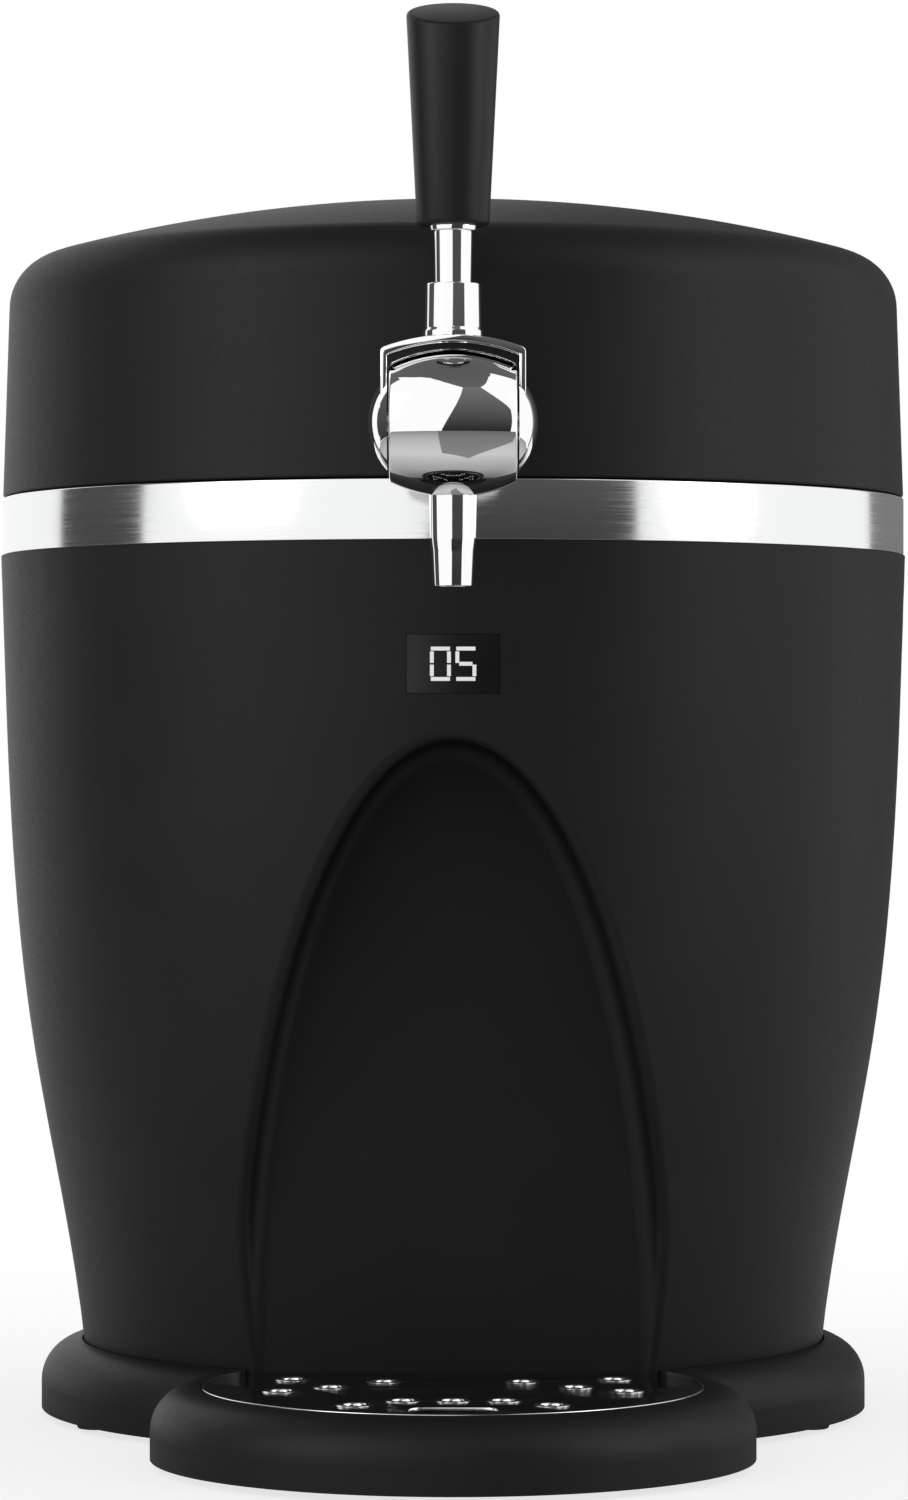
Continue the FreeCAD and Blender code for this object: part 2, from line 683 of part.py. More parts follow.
def make_pad():
    return cyl(KEG_R - PAD_INSET, PAD_Z, PAD_Z + PAD_T)


def make_sleeve():
    solid = cyl(SLEEVE_OUT_R, BODY_Z0, NECK_Z1 - CLEAR)
    solid = solid.common(box(-FAR, FAR, NICHE_Y + WALL + CLEAR, FAR, 0, FAR))
    solid = solid.cut(cyl(SLEEVE_IN_R, WELL_FLOOR_Z, NECK_Z1 + 1))
    half = COLD_BLOCK / 2 + CLEAR
    solid = solid.cut(box(-half, half, 0, FAR, COOLER_Z - half, COOLER_Z + half))
    return solid.cut(sensor_outline())


# --- cooling --------------------------------------------------------------------------------------
def make_cold_block():
    half = COLD_BLOCK / 2
    block = box(-half, half, 0, PELTIER_Y, COOLER_Z - half, COOLER_Z + half)
    return block.cut(cyl(WELL_OUT_R, 0, FAR))


def make_peltier():
    half = COLD_BLOCK / 2
    return box(-half, half, PELTIER_Y, SINK_Y, COOLER_Z - half, COOLER_Z + half)


def make_heat_sink():
    half = SINK_W / 2
    solids = [box(-half, half, SINK_Y, SINK_Y + SINK_BASE_T, COOLER_Z - half, COOLER_Z + half)]
    pitch = (SINK_W - FIN_T) / (FINS - 1)
    for i in range(FINS):
        x = -half + i * pitch
        solids.append(box(x, x + FIN_T, SINK_Y + SINK_BASE_T - 0.5, FAN_Y, COOLER_Z - half, COOLER_Z + half))
    return join(solids)


def fan_screw_points():
    d = SINK_W / 2 - FAN_SCREW_INSET
    return [(sx * d, COOLER_Z + sz * d) for sx in (-1, 1) for sz in (-1, 1)]


def make_fan_frame():
    half = SINK_W / 2
    frame = box(-half, half, FAN_Y, FAN_Y + FAN_T, COOLER_Z - half, COOLER_Z + half)
    frame = frame.cut(cyl_y(FAN_BORE_R, FAN_Y - 1, FAN_Y + FAN_T + 1, 0, COOLER_Z))
    hub = cyl_y(FAN_HUB_R - 1, FAN_Y, FAN_Y + FAN_SPOKE_T, 0, COOLER_Z)
    shaft = cyl_y(FAN_SHAFT_R, FAN_Y, FAN_Y + FAN_T - FAN_SPOKE_T, 0, COOLER_Z)
    spokes = []
    for a in (90, 210, 330):
        arm = box(0, FAN_BORE_R + 1, FAN_Y, FAN_Y + FAN_SPOKE_T,
                  COOLER_Z - FAN_SPOKE_T, COOLER_Z + FAN_SPOKE_T)
        arm.rotate(V(0, 0, COOLER_Z), Y_AXIS, a)
        spokes.append(arm)
    frame = join([frame, hub, shaft] + spokes)
    for x, z in fan_screw_points():
        frame = frame.cut(cyl_y(SCREW_R + SNAP_PLAY, FAN_Y - 1, FAN_Y + FAN_T + 1, x, z))
    return frame


def make_fan_rotor():
    y0 = FAN_Y + FAN_SPOKE_T + CLEAR
    y1 = FAN_Y + FAN_T - 0.7
    solids = [cyl_y(FAN_HUB_R, y0, y1, 0, COOLER_Z)]
    tip_r = FAN_BORE_R - FAN_TIP_PLAY
    for i in range(FAN_BLADES):
        blade = box(FAN_HUB_R - 2, tip_r, y0 + 0.5, y0 + 1.9, COOLER_Z - 6, COOLER_Z + 6)
        blade.rotate(V(0, y0 + 3.4, COOLER_Z), X_AXIS, 22)
        blade.translate(V(0, 2.1, 0))
        blade.rotate(V(0, 0, COOLER_Z), Y_AXIS, i * 360 / FAN_BLADES)
        solids.append(blade.common(cyl_y(tip_r, y0, y1, 0, COOLER_Z)))
    bore = cyl_y(FAN_SHAFT_R + SPINDLE_PLAY, y0 - 1, FAN_Y + FAN_T - FAN_SPOKE_T + CLEAR, 0, COOLER_Z)
    return join(solids).cut(bore)


def make_fan_screws():
    out = []
    for x, z in fan_screw_points():
        head = cyl_y(SCREW_HEAD_R, FAN_Y + FAN_T, FAN_Y + FAN_T + SCREW_HEAD_T, x, z)
        out.append(head.fuse(cyl_y(SCREW_R, FAN_Y, FAN_Y + FAN_T, x, z)).removeSplitter())
    return Part.makeCompound(out)


def make_grille():
    # a curved panel in the casing's opening, with a lap behind the casing all round
    panel = barrel_skin(0, WALL).common(grille_opening(0))
    pitch = 2 * (GRILLE_TALL - GRILLE_MARGIN) / GRILLE_SLOTS
    slot_half = GRILLE_HALF - GRILLE_MARGIN - 2
    for i in range(GRILLE_SLOTS):
        z = COOLER_Z - GRILLE_TALL + GRILLE_MARGIN + (i + 0.5) * pitch
        panel = panel.cut(box(-slot_half, slot_half, 0, FAR, z - GRILLE_SLOT_W / 2, z + GRILLE_SLOT_W / 2))
    half = GRILLE_HALF - GRILLE_MARGIN
    tall = GRILLE_TALL - GRILLE_MARGIN + 1
    inside = box(-half, half, 0, FAR, COOLER_Z - tall, COOLER_Z + tall)
    tabs = barrel_skin(-WALL - 0.05, WALL + GRILLE_LAP_T).common(grille_opening(GRILLE_LAP)).cut(inside)
    inner = barrel_skin(-WALL + SNAP_PLAY, WALL + SNAP_PLAY).common(grille_opening(-GAP)).cut(inside)
    return join([panel, inner, tabs])


def sensor_outline():
    # a clip on the well's wall, in a pocket of the insulation
    return box(-SENSOR_HALF, SENSOR_HALF, 0, WELL_OUT_R + SENSOR_T, SENSOR_Z - SENSOR_TALL,
               SENSOR_Z + SENSOR_TALL).cut(cyl(WELL_OUT_R, 0, FAR))


# --- electrics ------------------------------------------------------------------------------------
def box_on_board(x, y, length, depth, height, z):
    return box(x - length / 2, x + length / 2, y - depth / 2, y + depth / 2, z + 1, z + height)


def make_power_board():
    # from left to right: transformer, choke and two capacitors, with the terminals at the back
    z = COVER_TOP_Z + BOARD_LIFT
    board = box(-BOARD_HALF_X, BOARD_HALF_X, -BOARD_HALF_Y, BOARD_HALF_Y, z, z + BOARD_T)
    transformer = box_on_board(*TRANSFORMER, z)
    choke = box_on_board(*CHOKE, z)
    terminals = box_on_board(*TERMINALS, z)
    capacitors = [cyl(CAPACITOR_R, z + 1, z + CAPACITOR_H, CAPACITOR_X, y)
                  for y in (-CAPACITOR_Y, CAPACITOR_Y)]
    return join([board, transformer, choke, terminals] + capacitors)


def make_display_window():
    return barrel_skin(0, WALL - GAP).common(display_opening(0))


def segment_bars(x, lit):
    # the bars of one seven-bar digit centred at x
    w = DIGIT_W / 2
    h = DIGIT_H / 2
    s = DIGIT_STROKE
    cut = 0.25
    spots = {"top": (-w + cut, w - cut, h - s, h), "bottom": (-w + cut, w - cut, -h, -h + s),
             "middle": (-w + s, w - s, -s / 2, s / 2),
             "upper_left": (-w, -w + s, cut, h - s - cut), "upper_right": (w - s, w, cut, h - s - cut),
             "lower_left": (-w, -w + s, -h + s + cut, -cut), "lower_right": (w - s, w, -h + s + cut, -cut)}
    bars = []
    for name in lit:
        x0, x1, z0, z1 = spots[name]
        bars.append(box(x + x0, x + x1, -FAR, -WELL_OUT_R, DISPLAY_Z + z0, DISPLAY_Z + z1))
    return bars


def make_digits():
    nought = ("top", "bottom", "upper_left", "upper_right", "lower_left", "lower_right")
    five = ("top", "bottom", "middle", "upper_left", "lower_right")
    layer = barrel_skin(DIGIT_T, 0).common(display_opening(0))
    bars = segment_bars(-DIGIT_PITCH / 2, nought) + segment_bars(DIGIT_PITCH / 2, five)
    return Part.makeCompound([layer.common(b) for b in bars])


def make_display_board():
    # the control board and its light block stand in a carrier frame behind the window
    y = -BODY_R1 + DISPLAY_BOARD_DEPTH
    half = DISPLAY_BOARD_HALF
    z0 = DISPLAY_Z - DISPLAY_BOARD_TALL
    z1 = DISPLAY_Z + DISPLAY_BOARD_TALL
    board = box(-half, half, y, y + BOARD_T, z0, z1)
    chip = box(-CHIP_HALF, CHIP_HALF, y + 1, y + CHIP_H, DISPLAY_Z - CHIP_HALF, DISPLAY_Z + CHIP_HALF)
    block = box(-LIGHT_BLOCK_HALF, LIGHT_BLOCK_HALF, y - LIGHT_BLOCK_H, y + 0.5,
                DISPLAY_Z - LIGHT_BLOCK_TALL, DISPLAY_Z + LIGHT_BLOCK_TALL)
    wall = DISPLAY_CARRIER_T
    carrier = box(-half, half, y - DISPLAY_CARRIER_H, y + 0.5, z0, z1)
    carrier = carrier.cut(box(-half + wall, half - wall, -FAR, y, z0 + wall, z1 - wall))
    return join([board, chip, block, carrier]).common(barrel(WALL + SNAP_PLAY))


def panel_bezel(x, half, tall):
    # a flat-faced rim that sits on the curved casing
    rim = block_without_corners(x - half - BEZEL_W, x + half + BEZEL_W, WELL_OUT_R, PANEL_Y,
                                INLET_Z - tall - BEZEL_W, INLET_Z + tall + BEZEL_W, BEZEL_W)
    return rim.cut(barrel(0))


def make_inlet():
    # two-pole appliance inlet: a plug-in block with a socket recess and two pins
    half = INLET_W / 2
    tall = INLET_H / 2
    body = box(INLET_X - half, INLET_X + half, PANEL_BACK_Y, PANEL_Y, INLET_Z - tall, INLET_Z + tall)
    solid = body.fuse(panel_bezel(INLET_X, half, tall))
    across = half - INLET_WALL
    up = tall - INLET_WALL
    solid = solid.cut(box(INLET_X - across, INLET_X + across, PANEL_BACK_Y + 3, PANEL_Y + 1,
                          INLET_Z - up, INLET_Z + up))
    pins = [cyl_y(INLET_PIN_R, PANEL_BACK_Y + 2, PANEL_Y - 5, INLET_X + dx, INLET_Z)
            for dx in (-INLET_PIN_X, INLET_PIN_X)]
    return join([solid] + pins)


def make_switch_bezel():
    half = ROCKER_W / 2 + BEZEL_W
    tall = ROCKER_H / 2 + BEZEL_W
    body = box(ROCKER_X - half, ROCKER_X + half, PANEL_BACK_Y, PANEL_Y, INLET_Z - tall, INLET_Z + tall)
    solid = body.fuse(panel_bezel(ROCKER_X, half, tall))
    across = ROCKER_W / 2 + CLEAR
    up = ROCKER_H / 2 + CLEAR
    solid = solid.cut(box(ROCKER_X - across, ROCKER_X + across, PANEL_BACK_Y + 4, PANEL_Y + 1,
                          INLET_Z - up, INLET_Z + up))
    pin = cyl_x(ROCKER_PIN_R, ROCKER_X - half + 1, ROCKER_X + half - 1, ROCKER_PIVOT_Y, INLET_Z)
    return join([solid, pin])


def make_rocker():
    # a rocking key with a shallow V face; it rests with its upper end pressed in
    half = ROCKER_W / 2
    tall = ROCKER_H / 2 - 0.7
    face_y = PANEL_Y + 0.8
    key = box(ROCKER_X - half, ROCKER_X + half, ROCKER_PIVOT_Y - 4, face_y + 3,
              INLET_Z - tall, INLET_Z + tall)
    for s in (-1, 1):
        wedge = box(ROCKER_X - half - 1, ROCKER_X + half + 1, face_y, face_y + 9,
                    INLET_Z - ROCKER_H, INLET_Z + ROCKER_H)
        wedge.rotate(V(ROCKER_X, face_y, INLET_Z), X_AXIS, -s * ROCKER_TILT)
        low = INLET_Z if s > 0 else INLET_Z - FAR
        key = key.cut(wedge.common(box(-FAR, FAR, 0, FAR, low, low + FAR)))
    heel = cyl_x(ROCKER_HEEL_R, ROCKER_X - half, ROCKER_X + half, ROCKER_PIVOT_Y, INLET_Z)
    upper = box(ROCKER_X - half, ROCKER_X + half, ROCKER_PIVOT_Y - 1.5, FAR,
                INLET_Z - ROCKER_H, INLET_Z + ROCKER_H)
    key = key.common(heel.fuse(upper))
    key = key.cut(cyl_x(ROCKER_PIN_R + SPINDLE_PLAY, ROCKER_X - half - 1, ROCKER_X + half + 1,
                        ROCKER_PIVOT_Y, INLET_Z))
    key.rotate(V(ROCKER_X, ROCKER_PIVOT_Y, INLET_Z), X_AXIS, ROCKER_TILT)
    return key


# --- lid hinge ------------------------------------------------------------------------------------
def knuckle(x0, x1):
    return cyl_x(KNUCKLE_R, x0, x1, HINGE_Y, HINGE_Z)


def hinge_leaf_low(bore):
    # the cabinet's leaf: a plate in the band's gap, with two outer knuckles
    back = HINGE_Y + KNUCKLE_R
    plate = box(-HINGE_HALF, HINGE_HALF, HINGE_Y - LEAF_REACH, HINGE_Y,
                BODY_Z1 + 1, HINGE_Z - KNUCKLE_R + 1.5)
    plate = plate.cut(cyl(NECK_R, 0, FAR))
    ears = []
    for x0, x1 in ((-HINGE_HALF, -KNUCKLE_HALF - CLEAR), (KNUCKLE_HALF + CLEAR, HINGE_HALF)):
        ears.append(knuckle(x0, x1))
        ears.append(box(x0, x1, HINGE_Y - KNUCKLE_R, back, HINGE_Z - KNUCKLE_R - 2, HINGE_Z))
    plate = plate.fuse(box(-HINGE_HALF, HINGE_HALF, HINGE_Y - KNUCKLE_R, back,
                           BODY_Z1 + 4, HINGE_Z - KNUCKLE_R - 1.5))
    leaf = join([plate] + ears)
    room = cyl_x(KNUCKLE_R + GAP, -KNUCKLE_HALF - CLEAR, KNUCKLE_HALF + CLEAR, HINGE_Y, HINGE_Z)
    leaf = leaf.cut(room)
    if bore > 0:
        leaf = leaf.cut(cyl_x(bore, -HINGE_HALF - 1, HINGE_HALF + 1, HINGE_Y, HINGE_Z))
        for hole in bracket_screw_holes(SCREW_R) + bracket_screw_heads():
            leaf = leaf.cut(hole)
    return leaf


def bracket_screw_heads():
    # the heads sit flush in the bracket
    back = HINGE_Y + KNUCKLE_R
    z = BODY_Z1 + BRACKET_SCREW_RISE
    return [cyl_y(SCREW_HEAD_R, back - SCREW_HEAD_T, back, x, z) for x in (-BRACKET_SCREW_X, BRACKET_SCREW_X)]


def make_hinge_screws():
    tip_y = math.sqrt((NECK_R - WALL) ** 2 - BRACKET_SCREW_X ** 2) + 0.1
    z = BODY_Z1 + BRACKET_SCREW_RISE
    screws = []
    for head, x in zip(bracket_screw_heads(), (-BRACKET_SCREW_X, BRACKET_SCREW_X)):
        screws.append(head.fuse(cyl_y(SCREW_R, tip_y, HINGE_Y + KNUCKLE_R - 1, x, z)).removeSplitter())
    return Part.makeCompound(screws)


def lid_rivets(y0, y1, r):
    return [cyl_y(r, y0, y1, x, HINGE_Z + RIVET_RISE) for x in (-RIVET_X, RIVET_X)]


def hinge_leaf_high():
    # the lid's leaf: a plate riveted to the lid's back wall, with the middle knuckle
    plate = box(-HINGE_HALF + 4, HINGE_HALF - 4, HINGE_Y - LEAF_REACH, HINGE_Y,
                HINGE_Z + KNUCKLE_R + 1, HINGE_Z + LEAF_H)
    plate = plate.cut(lid_form(0))
    web = box(-KNUCKLE_HALF, KNUCKLE_HALF, HINGE_Y - 2.5, HINGE_Y + 1.5, HINGE_Z, HINGE_Z + 3 * KNUCKLE_R)
    leaf = join([plate, web, knuckle(-KNUCKLE_HALF, KNUCKLE_HALF)])
    leaf = leaf.cut(cyl_x(HINGE_PIN_R + SPINDLE_PLAY, -HINGE_HALF, HINGE_HALF, HINGE_Y, HINGE_Z))
    heads = lid_rivets(HINGE_Y - 0.5, HINGE_Y + SCREW_HEAD_T, SCREW_HEAD_R)
    return join([leaf] + heads + lid_rivets(LID_R0 - 2 * WALL, HINGE_Y, SCREW_R))


def make_hinge_pin():
    end = HINGE_HALF + HINGE_PIN_HEAD_T
    pin = cyl_x(HINGE_PIN_R, -HINGE_HALF - 1, HINGE_HALF + 1, HINGE_Y, HINGE_Z)
    heads = [cyl_x(HINGE_PIN_HEAD_R, -end, -HINGE_HALF, HINGE_Y, HINGE_Z),
             cyl_x(HINGE_PIN_HEAD_R, HINGE_HALF, end, HINGE_Y, HINGE_Z)]
    return join([pin] + heads)


# --- lid ------------------------------------------------------------------------------------------
def shank_hole():
    return cyl_y(SHANK_R, -FAR, SHANK_TAIL_Y, 0, TAP_Z)


def make_lid_shell():
    shell = lid_form(0).cut(lid_form(WALL)).cut(cyl(LID_R0 - WALL, LID_Z0 - 1, LID_Z0 + 1)).cut(shank_hole())
    for rivet in lid_rivets(0, FAR, SCREW_R):
        shell = shell.cut(rivet)
    return shell


def make_lid_liner():
    rim_z = LID_Z0 + LINER_RIM_LIFT
    shelf_z = LID_Z0 + LINER_SHELF_LIFT
    skirt = cyl(LINER_R, rim_z, LINER_TOP_Z).cut(cyl(LINER_R - WALL, 0, LINER_ROOF_Z))
    rim = ring(LID_R0 - WALL - CLEAR, LINER_R - 1, rim_z, rim_z + LINER_RIM_T)
    shelf = ring(LINER_R - 1, GASKET_R - 2, shelf_z, shelf_z + LINER_SHELF_T)
    # the shelf is notched where the shank's nut is turned
    half = NUT_R + 3
    shelf = shelf.cut(box(-half, half, -LINER_R + WALL, -GASKET_R - GASKET_W - 2, LID_Z0, TAP_Z))
    return join([skirt, rim, shelf]).cut(shank_hole())


def make_lid_foam():
    return lid_form(WALL + CLEAR).common(box(-FAR, FAR, -FAR, FAR, LINER_TOP_Z, FAR))


def make_lid_gasket():
    return ring(GASKET_R + GASKET_W, GASKET_R, TOP_DECK_Z + CLEAR, LID_Z0 + LINER_SHELF_LIFT)


# --- tap, fixed part ------------------------------------------------------------------------------
def arc_drum(half, mid_r, end_r):
    # a barrel lying along X
    left = V(-half, 0, end_r)
    right = V(half, 0, end_r)
    edges = [Part.Arc(left, V(0, 0, mid_r), right).toShape(), Part.makeLine(right, V(half, 0, 0)),
             Part.makeLine(V(half, 0, 0), V(-half, 0, 0)), Part.makeLine(V(-half, 0, 0), left)]
    drum = spun(edges, V(0, 0, 0), X_AXIS)
    drum.translate(V(0, TAP_Y, TAP_Z))
    return drum


def make_tap_body():
    drum = arc_drum(DRUM_HALF, DRUM_R, DRUM_END_R)
    ends = [e for e in drum.Edges if abs(abs(e.CenterOfMass.x) - DRUM_HALF) < 0.01]
    drum = drum.makeFillet(DRUM_EDGE, ends)
    neck = cyl_y(TAP_NECK_R, TAP_Y + CHAMBER_R - 1, FLANGE_Y - FLANGE_T, 0, TAP_Z)
    solid = drum.fuse(neck).removeSplitter()
    solid = solid.cut(cyl_x(CHAMBER_R, -CHAMBER_HALF, CHAMBER_HALF, TAP_Y, TAP_Z))
    solid = solid.cut(cyl_x(SPINDLE_R + SPINDLE_PLAY, -DRUM_HALF - 1, DRUM_HALF + 1, TAP_Y, TAP_Z))
    solid = solid.cut(cyl_y(SHANK_BORE_R, TAP_Y, FLANGE_Y, 0, TAP_Z))
    solid = solid.cut(cyl(SPOUT_BORE_R, TAP_Z - DRUM_R - 1, TAP_Z, 0, SPOUT_Y))
    return solid.cut(spout_outline())


def spout_outline():
    # radius steps down the spout: a straight collar, a cone and a straight tip
    top = TAP_Z - DRUM_R + SPOUT_COLLAR_DEPTH
    pts = [V(0, 0, top), V(SPOUT_COLLAR_R, 0, top)]
    pts += [V(r, 0, SPOUT_TIP_Z + h) for r, h in SPOUT_STEPS] + [V(0, 0, SPOUT_TIP_Z), V(0, 0, top)]
    spout = spun([Part.makeLine(pts[i], pts[i + 1]) for i in range(len(pts) - 1)], V(0, 0, 0), Z_AXIS)
    spout.translate(V(0, SPOUT_Y, 0))
    return spout


def make_spout():
    return spout_outline().cut(cyl(SPOUT_BORE_R, SPOUT_TIP_Z - 1, TAP_Z, 0, SPOUT_Y))


def make_flange():
    disc = cyl_y(FLANGE_R, FLANGE_Y - FLANGE_T, FLANGE_Y, 0, TAP_Z)
    front = [e for e in disc.Edges if e.CenterOfMass.y < FLANGE_Y - FLANGE_T + 0.01]
    disc = disc.makeFillet(FLANGE_EDGE, front)
    return disc.cut(cyl_y(SHANK_BORE_R, -FAR, 0, 0, TAP_Z))


def make_flange_gasket():
    inner_y = -LINER_R
    disc = cyl_y(FLANGE_R - 1, FLANGE_Y, inner_y, 0, TAP_Z).cut(lid_form(0)).cut(shank_hole())
    return disc.common(box(-FAR, FAR, -FAR, inner_y, LID_Z0 + 0.1, FAR))


def make_shank():
    shoulder_y = SHANK_TAIL_Y - SHANK_BARB_L
    tube = cyl_y(SHANK_R, FLANGE_Y, shoulder_y, 0, TAP_Z).fuse(
        cyl_y(BEER_BARB_R, shoulder_y - 1, SHANK_TAIL_Y, 0, TAP_Z))
    tube = tube.cut(cyl_y(SHANK_BORE_R, FLANGE_Y - 1, shoulder_y - 2, 0, TAP_Z))
    return tube.cut(cyl_y(BEER_BARB_BORE_R, FLANGE_Y, SHANK_TAIL_Y + 1, 0, TAP_Z))


def make_shank_nut():
    corners = [math.radians(60 * i) for i in range(7)]
    hexagon = Part.makePolygon([V(NUT_R * math.cos(a), 0, NUT_R * math.sin(a)) for a in corners])
    nut = Part.Face(hexagon).extrude(V(0, NUT_T, 0))
    nut.translate(V(0, -math.sqrt((LINER_R - WALL) ** 2 - NUT_R ** 2), TAP_Z))
    return nut.cut(shank_hole())


# --- tap, moving part -----------------------------------------------------------------------------
def yoke_arch(z_top, half):
    # the strap's outline in the XZ plane: straight arms and a shallow arched top
    edges = [Part.Arc(V(-half, 0, z_top - YOKE_ARCH_RISE), V(0, 0, z_top),
                      V(half, 0, z_top - YOKE_ARCH_RISE)).toShape(),
             Part.makeLine(V(half, 0, z_top - YOKE_ARCH_RISE), V(half, 0, TAP_Z)),
             Part.makeLine(V(half, 0, TAP_Z), V(-half, 0, TAP_Z)),
             Part.makeLine(V(-half, 0, TAP_Z), V(-half, 0, z_top - YOKE_ARCH_RISE))]
    return Part.Face(Part.Wire(Part.__sortEdges__(edges)))


def cap_sphere(side):
    return Part.makeSphere(CAP_SPHERE_R, V(side * (CAP_TIP - CAP_SPHERE_R), TAP_Y, TAP_Z))


def make_yoke():
    solid = yoke_arch(YOKE_TOP_Z, YOKE_OUT).extrude(V(0, YOKE_DEPTH, 0))
    corners = [e for e in solid.Edges if abs(e.tangentAt(e.FirstParameter).y) > 0.99
               and e.CenterOfMass.z > TAP_Z + 5]
    solid = solid.makeFillet(YOKE_CORNER, corners)
    solid.translate(V(0, TAP_Y - YOKE_DEPTH / 2, 0))
    hollow = yoke_arch(YOKE_TOP_Z - YOKE_T, YOKE_IN).extrude(V(0, YOKE_DEPTH + 4, 0))
    hollow.translate(V(0, TAP_Y - YOKE_DEPTH / 2 - 2, 0))
    pieces = [solid.cut(hollow)]
    for s in (-1, 1):
        x0 = min(s * YOKE_IN, s * YOKE_OUT)
        pieces.append(cap_sphere(s).common(box(x0, x0 + YOKE_T, -FAR, 0, 0, FAR)))
    return join(pieces).cut(cyl_x(SPINDLE_R, -FAR, FAR, TAP_Y, TAP_Z))


def make_caps():
    left = cap_sphere(-1).common(box(-FAR, -YOKE_OUT, -FAR, 0, 0, FAR))
    right = cap_sphere(1).common(box(YOKE_OUT, FAR, -FAR, 0, 0, FAR))
    return Part.makeCompound([left, right])


def make_spindle():
    solids = [cyl_x(SPINDLE_R, -YOKE_OUT, -WEB_IN, TAP_Y, TAP_Z),
              cyl_x(SPINDLE_R, WEB_IN, YOKE_OUT, TAP_Y, TAP_Z),
              cyl_x(WEB_R, -WEB_OUT, -WEB_IN, TAP_Y, TAP_Z), cyl_x(WEB_R, WEB_IN, WEB_OUT, TAP_Y, TAP_Z),
              cyl_x(CRANK_PIN_R, -WEB_OUT, WEB_OUT, TAP_Y, TAP_Z + CRANK)]
    return join(solids)


def make_stem():
    half = WEB_IN - GAP
    slot = CRANK_PIN_R + 0.4
    cheek = slot + STEM_CHEEK_T
    top_z = TAP_Z + CRANK + CRANK_PIN_R + 1.3
    head = box(-half, half, TAP_Y - cheek, TAP_Y + cheek, TAP_Z - STEM_R, top_z)
    head = head.cut(box(-half - 1, half + 1, TAP_Y - slot, TAP_Y + slot, TAP_Z + STEM_SLOT_FLOOR, top_z + 1))
    rod = cyl_y(STEM_R, TAP_Y + cheek - 1, TAP_Y + STEM_L, 0, TAP_Z)
    plug = cyl_y(SHANK_BORE_R - 0.2, TAP_Y + STEM_L - 1, TAP_Y + STEM_L - 1 + PLUG_L, 0, TAP_Z)
    return join([head, rod, plug])


def make_collar():
    flare_z = YOKE_TOP_Z + COLLAR_FOOT_H
    foot = cyl(COLLAR_FOOT_R, YOKE_TOP_Z - 1.5, flare_z, 0, TAP_Y)
    collar = foot.fuse(cyl(COLLAR_R, flare_z - 0.5, COLLAR_Z1, 0, TAP_Y)).removeSplitter()
    return collar.cut(yoke_solid_below())


def yoke_solid_below():
    face = yoke_arch(YOKE_TOP_Z, YOKE_OUT)
    solid = face.extrude(V(0, 2 * YOKE_DEPTH, 0))
    solid.translate(V(0, TAP_Y - YOKE_DEPTH, 0))
    return solid


def make_rod():
    return cyl(ROD_R, COLLAR_Z1, HANDLE_Z0 + ROD_GRIP, 0, TAP_Y)


def make_ferrule():
    return cyl(FERRULE_R, HANDLE_Z0 - FERRULE_H, HANDLE_Z0, 0, TAP_Y).cut(cyl(ROD_R, 0, 2 * FAR, 0, TAP_Y))


def make_handle():
    tall = HANDLE_H + HANDLE_R1
    grow = (HANDLE_R1 - HANDLE_R0) / HANDLE_H
    cone = Part.makeCone(HANDLE_R0, HANDLE_R0 + grow * tall, tall, V(0, TAP_Y, HANDLE_Z0), Z_AXIS)
    slice_off = box(-FAR, FAR, -FAR, FAR, 0, FAR)
    slice_off.rotate(V(0, 0, 0), X_AXIS, HANDLE_SLANT)
    slice_off.translate(V(0, TAP_Y, HANDLE_TOP_Z))
    handle = cone.cut(slice_off)
    rims = [e for e in handle.Edges if not e.isSeam(next(f for f in handle.Faces if f.isInside(
        e.valueAt((e.FirstParameter + e.LastParameter) / 2), 0.001, True)))]
    handle = handle.makeFillet(HANDLE_EDGE, rims)
    return handle.cut(cyl(ROD_R, 0, HANDLE_Z0 + ROD_GRIP, 0, TAP_Y))


# --- beer and gas lines in the lid ----------------------------------------------------------------
def make_connector():
    body = cyl(CONNECTOR_R, CONNECTOR_Z0, LINER_ROOF_Z)
    flange = cyl(CONNECTOR_FLANGE_R, LINER_ROOF_Z - CONNECTOR_FLANGE_T, LINER_ROOF_Z)
    probe = cyl(PROBE_R, CONNECTOR_Z0 - PROBE_L, CONNECTOR_Z0 + 1)
    beer_barb = cyl_y(BEER_BARB_R, -CONNECTOR_R - BARB_L, -CONNECTOR_R + 6, 0, BEER_PORT_Z)
    gas_barb = cyl_y(GAS_BARB_R, CONNECTOR_R - 6, CONNECTOR_R + 6, 0, GAS_Z)
    return join([body, flange, probe, beer_barb, gas_barb])


def make_connector_seal():
    return cyl(SEAL_R, CONNECTOR_Z0 - SEAL_T, CONNECTOR_Z0).cut(cyl(PROBE_R, 0, FAR))


def s_bend(y0, z0, y1, z1, radius_out, radius_in):
    # a hose in the YZ plane: two equal arcs that carry it from one height to the other
    dy = (y1 - y0) / 2
    dz = (z1 - z0) / 2
    r = (dy * dy + dz * dz) / (2 * abs(dz))
    turn = math.asin(dy / r)
    half = turn / 2
    mid = V(0, y0 + dy, z0 + dz)
    first = Part.Arc(V(0, y0, z0), V(0, y0 + r * math.sin(half), z0 + r * (1 - math.cos(half))), mid)
    second = Part.Arc(mid, V(0, y1 - r * math.sin(half), z1 - r * (1 - math.cos(half))), V(0, y1, z1))
    path = Part.Wire([first.toShape(), second.toShape()])
    solids = []
    for r_tube in (radius_out, radius_in):
        section = Part.Wire([Part.makeCircle(r_tube, V(0, y0, z0), Y_AXIS)])
        solids.append(path.makePipeShell([section], True, False))
    return solids[0].cut(solids[1])


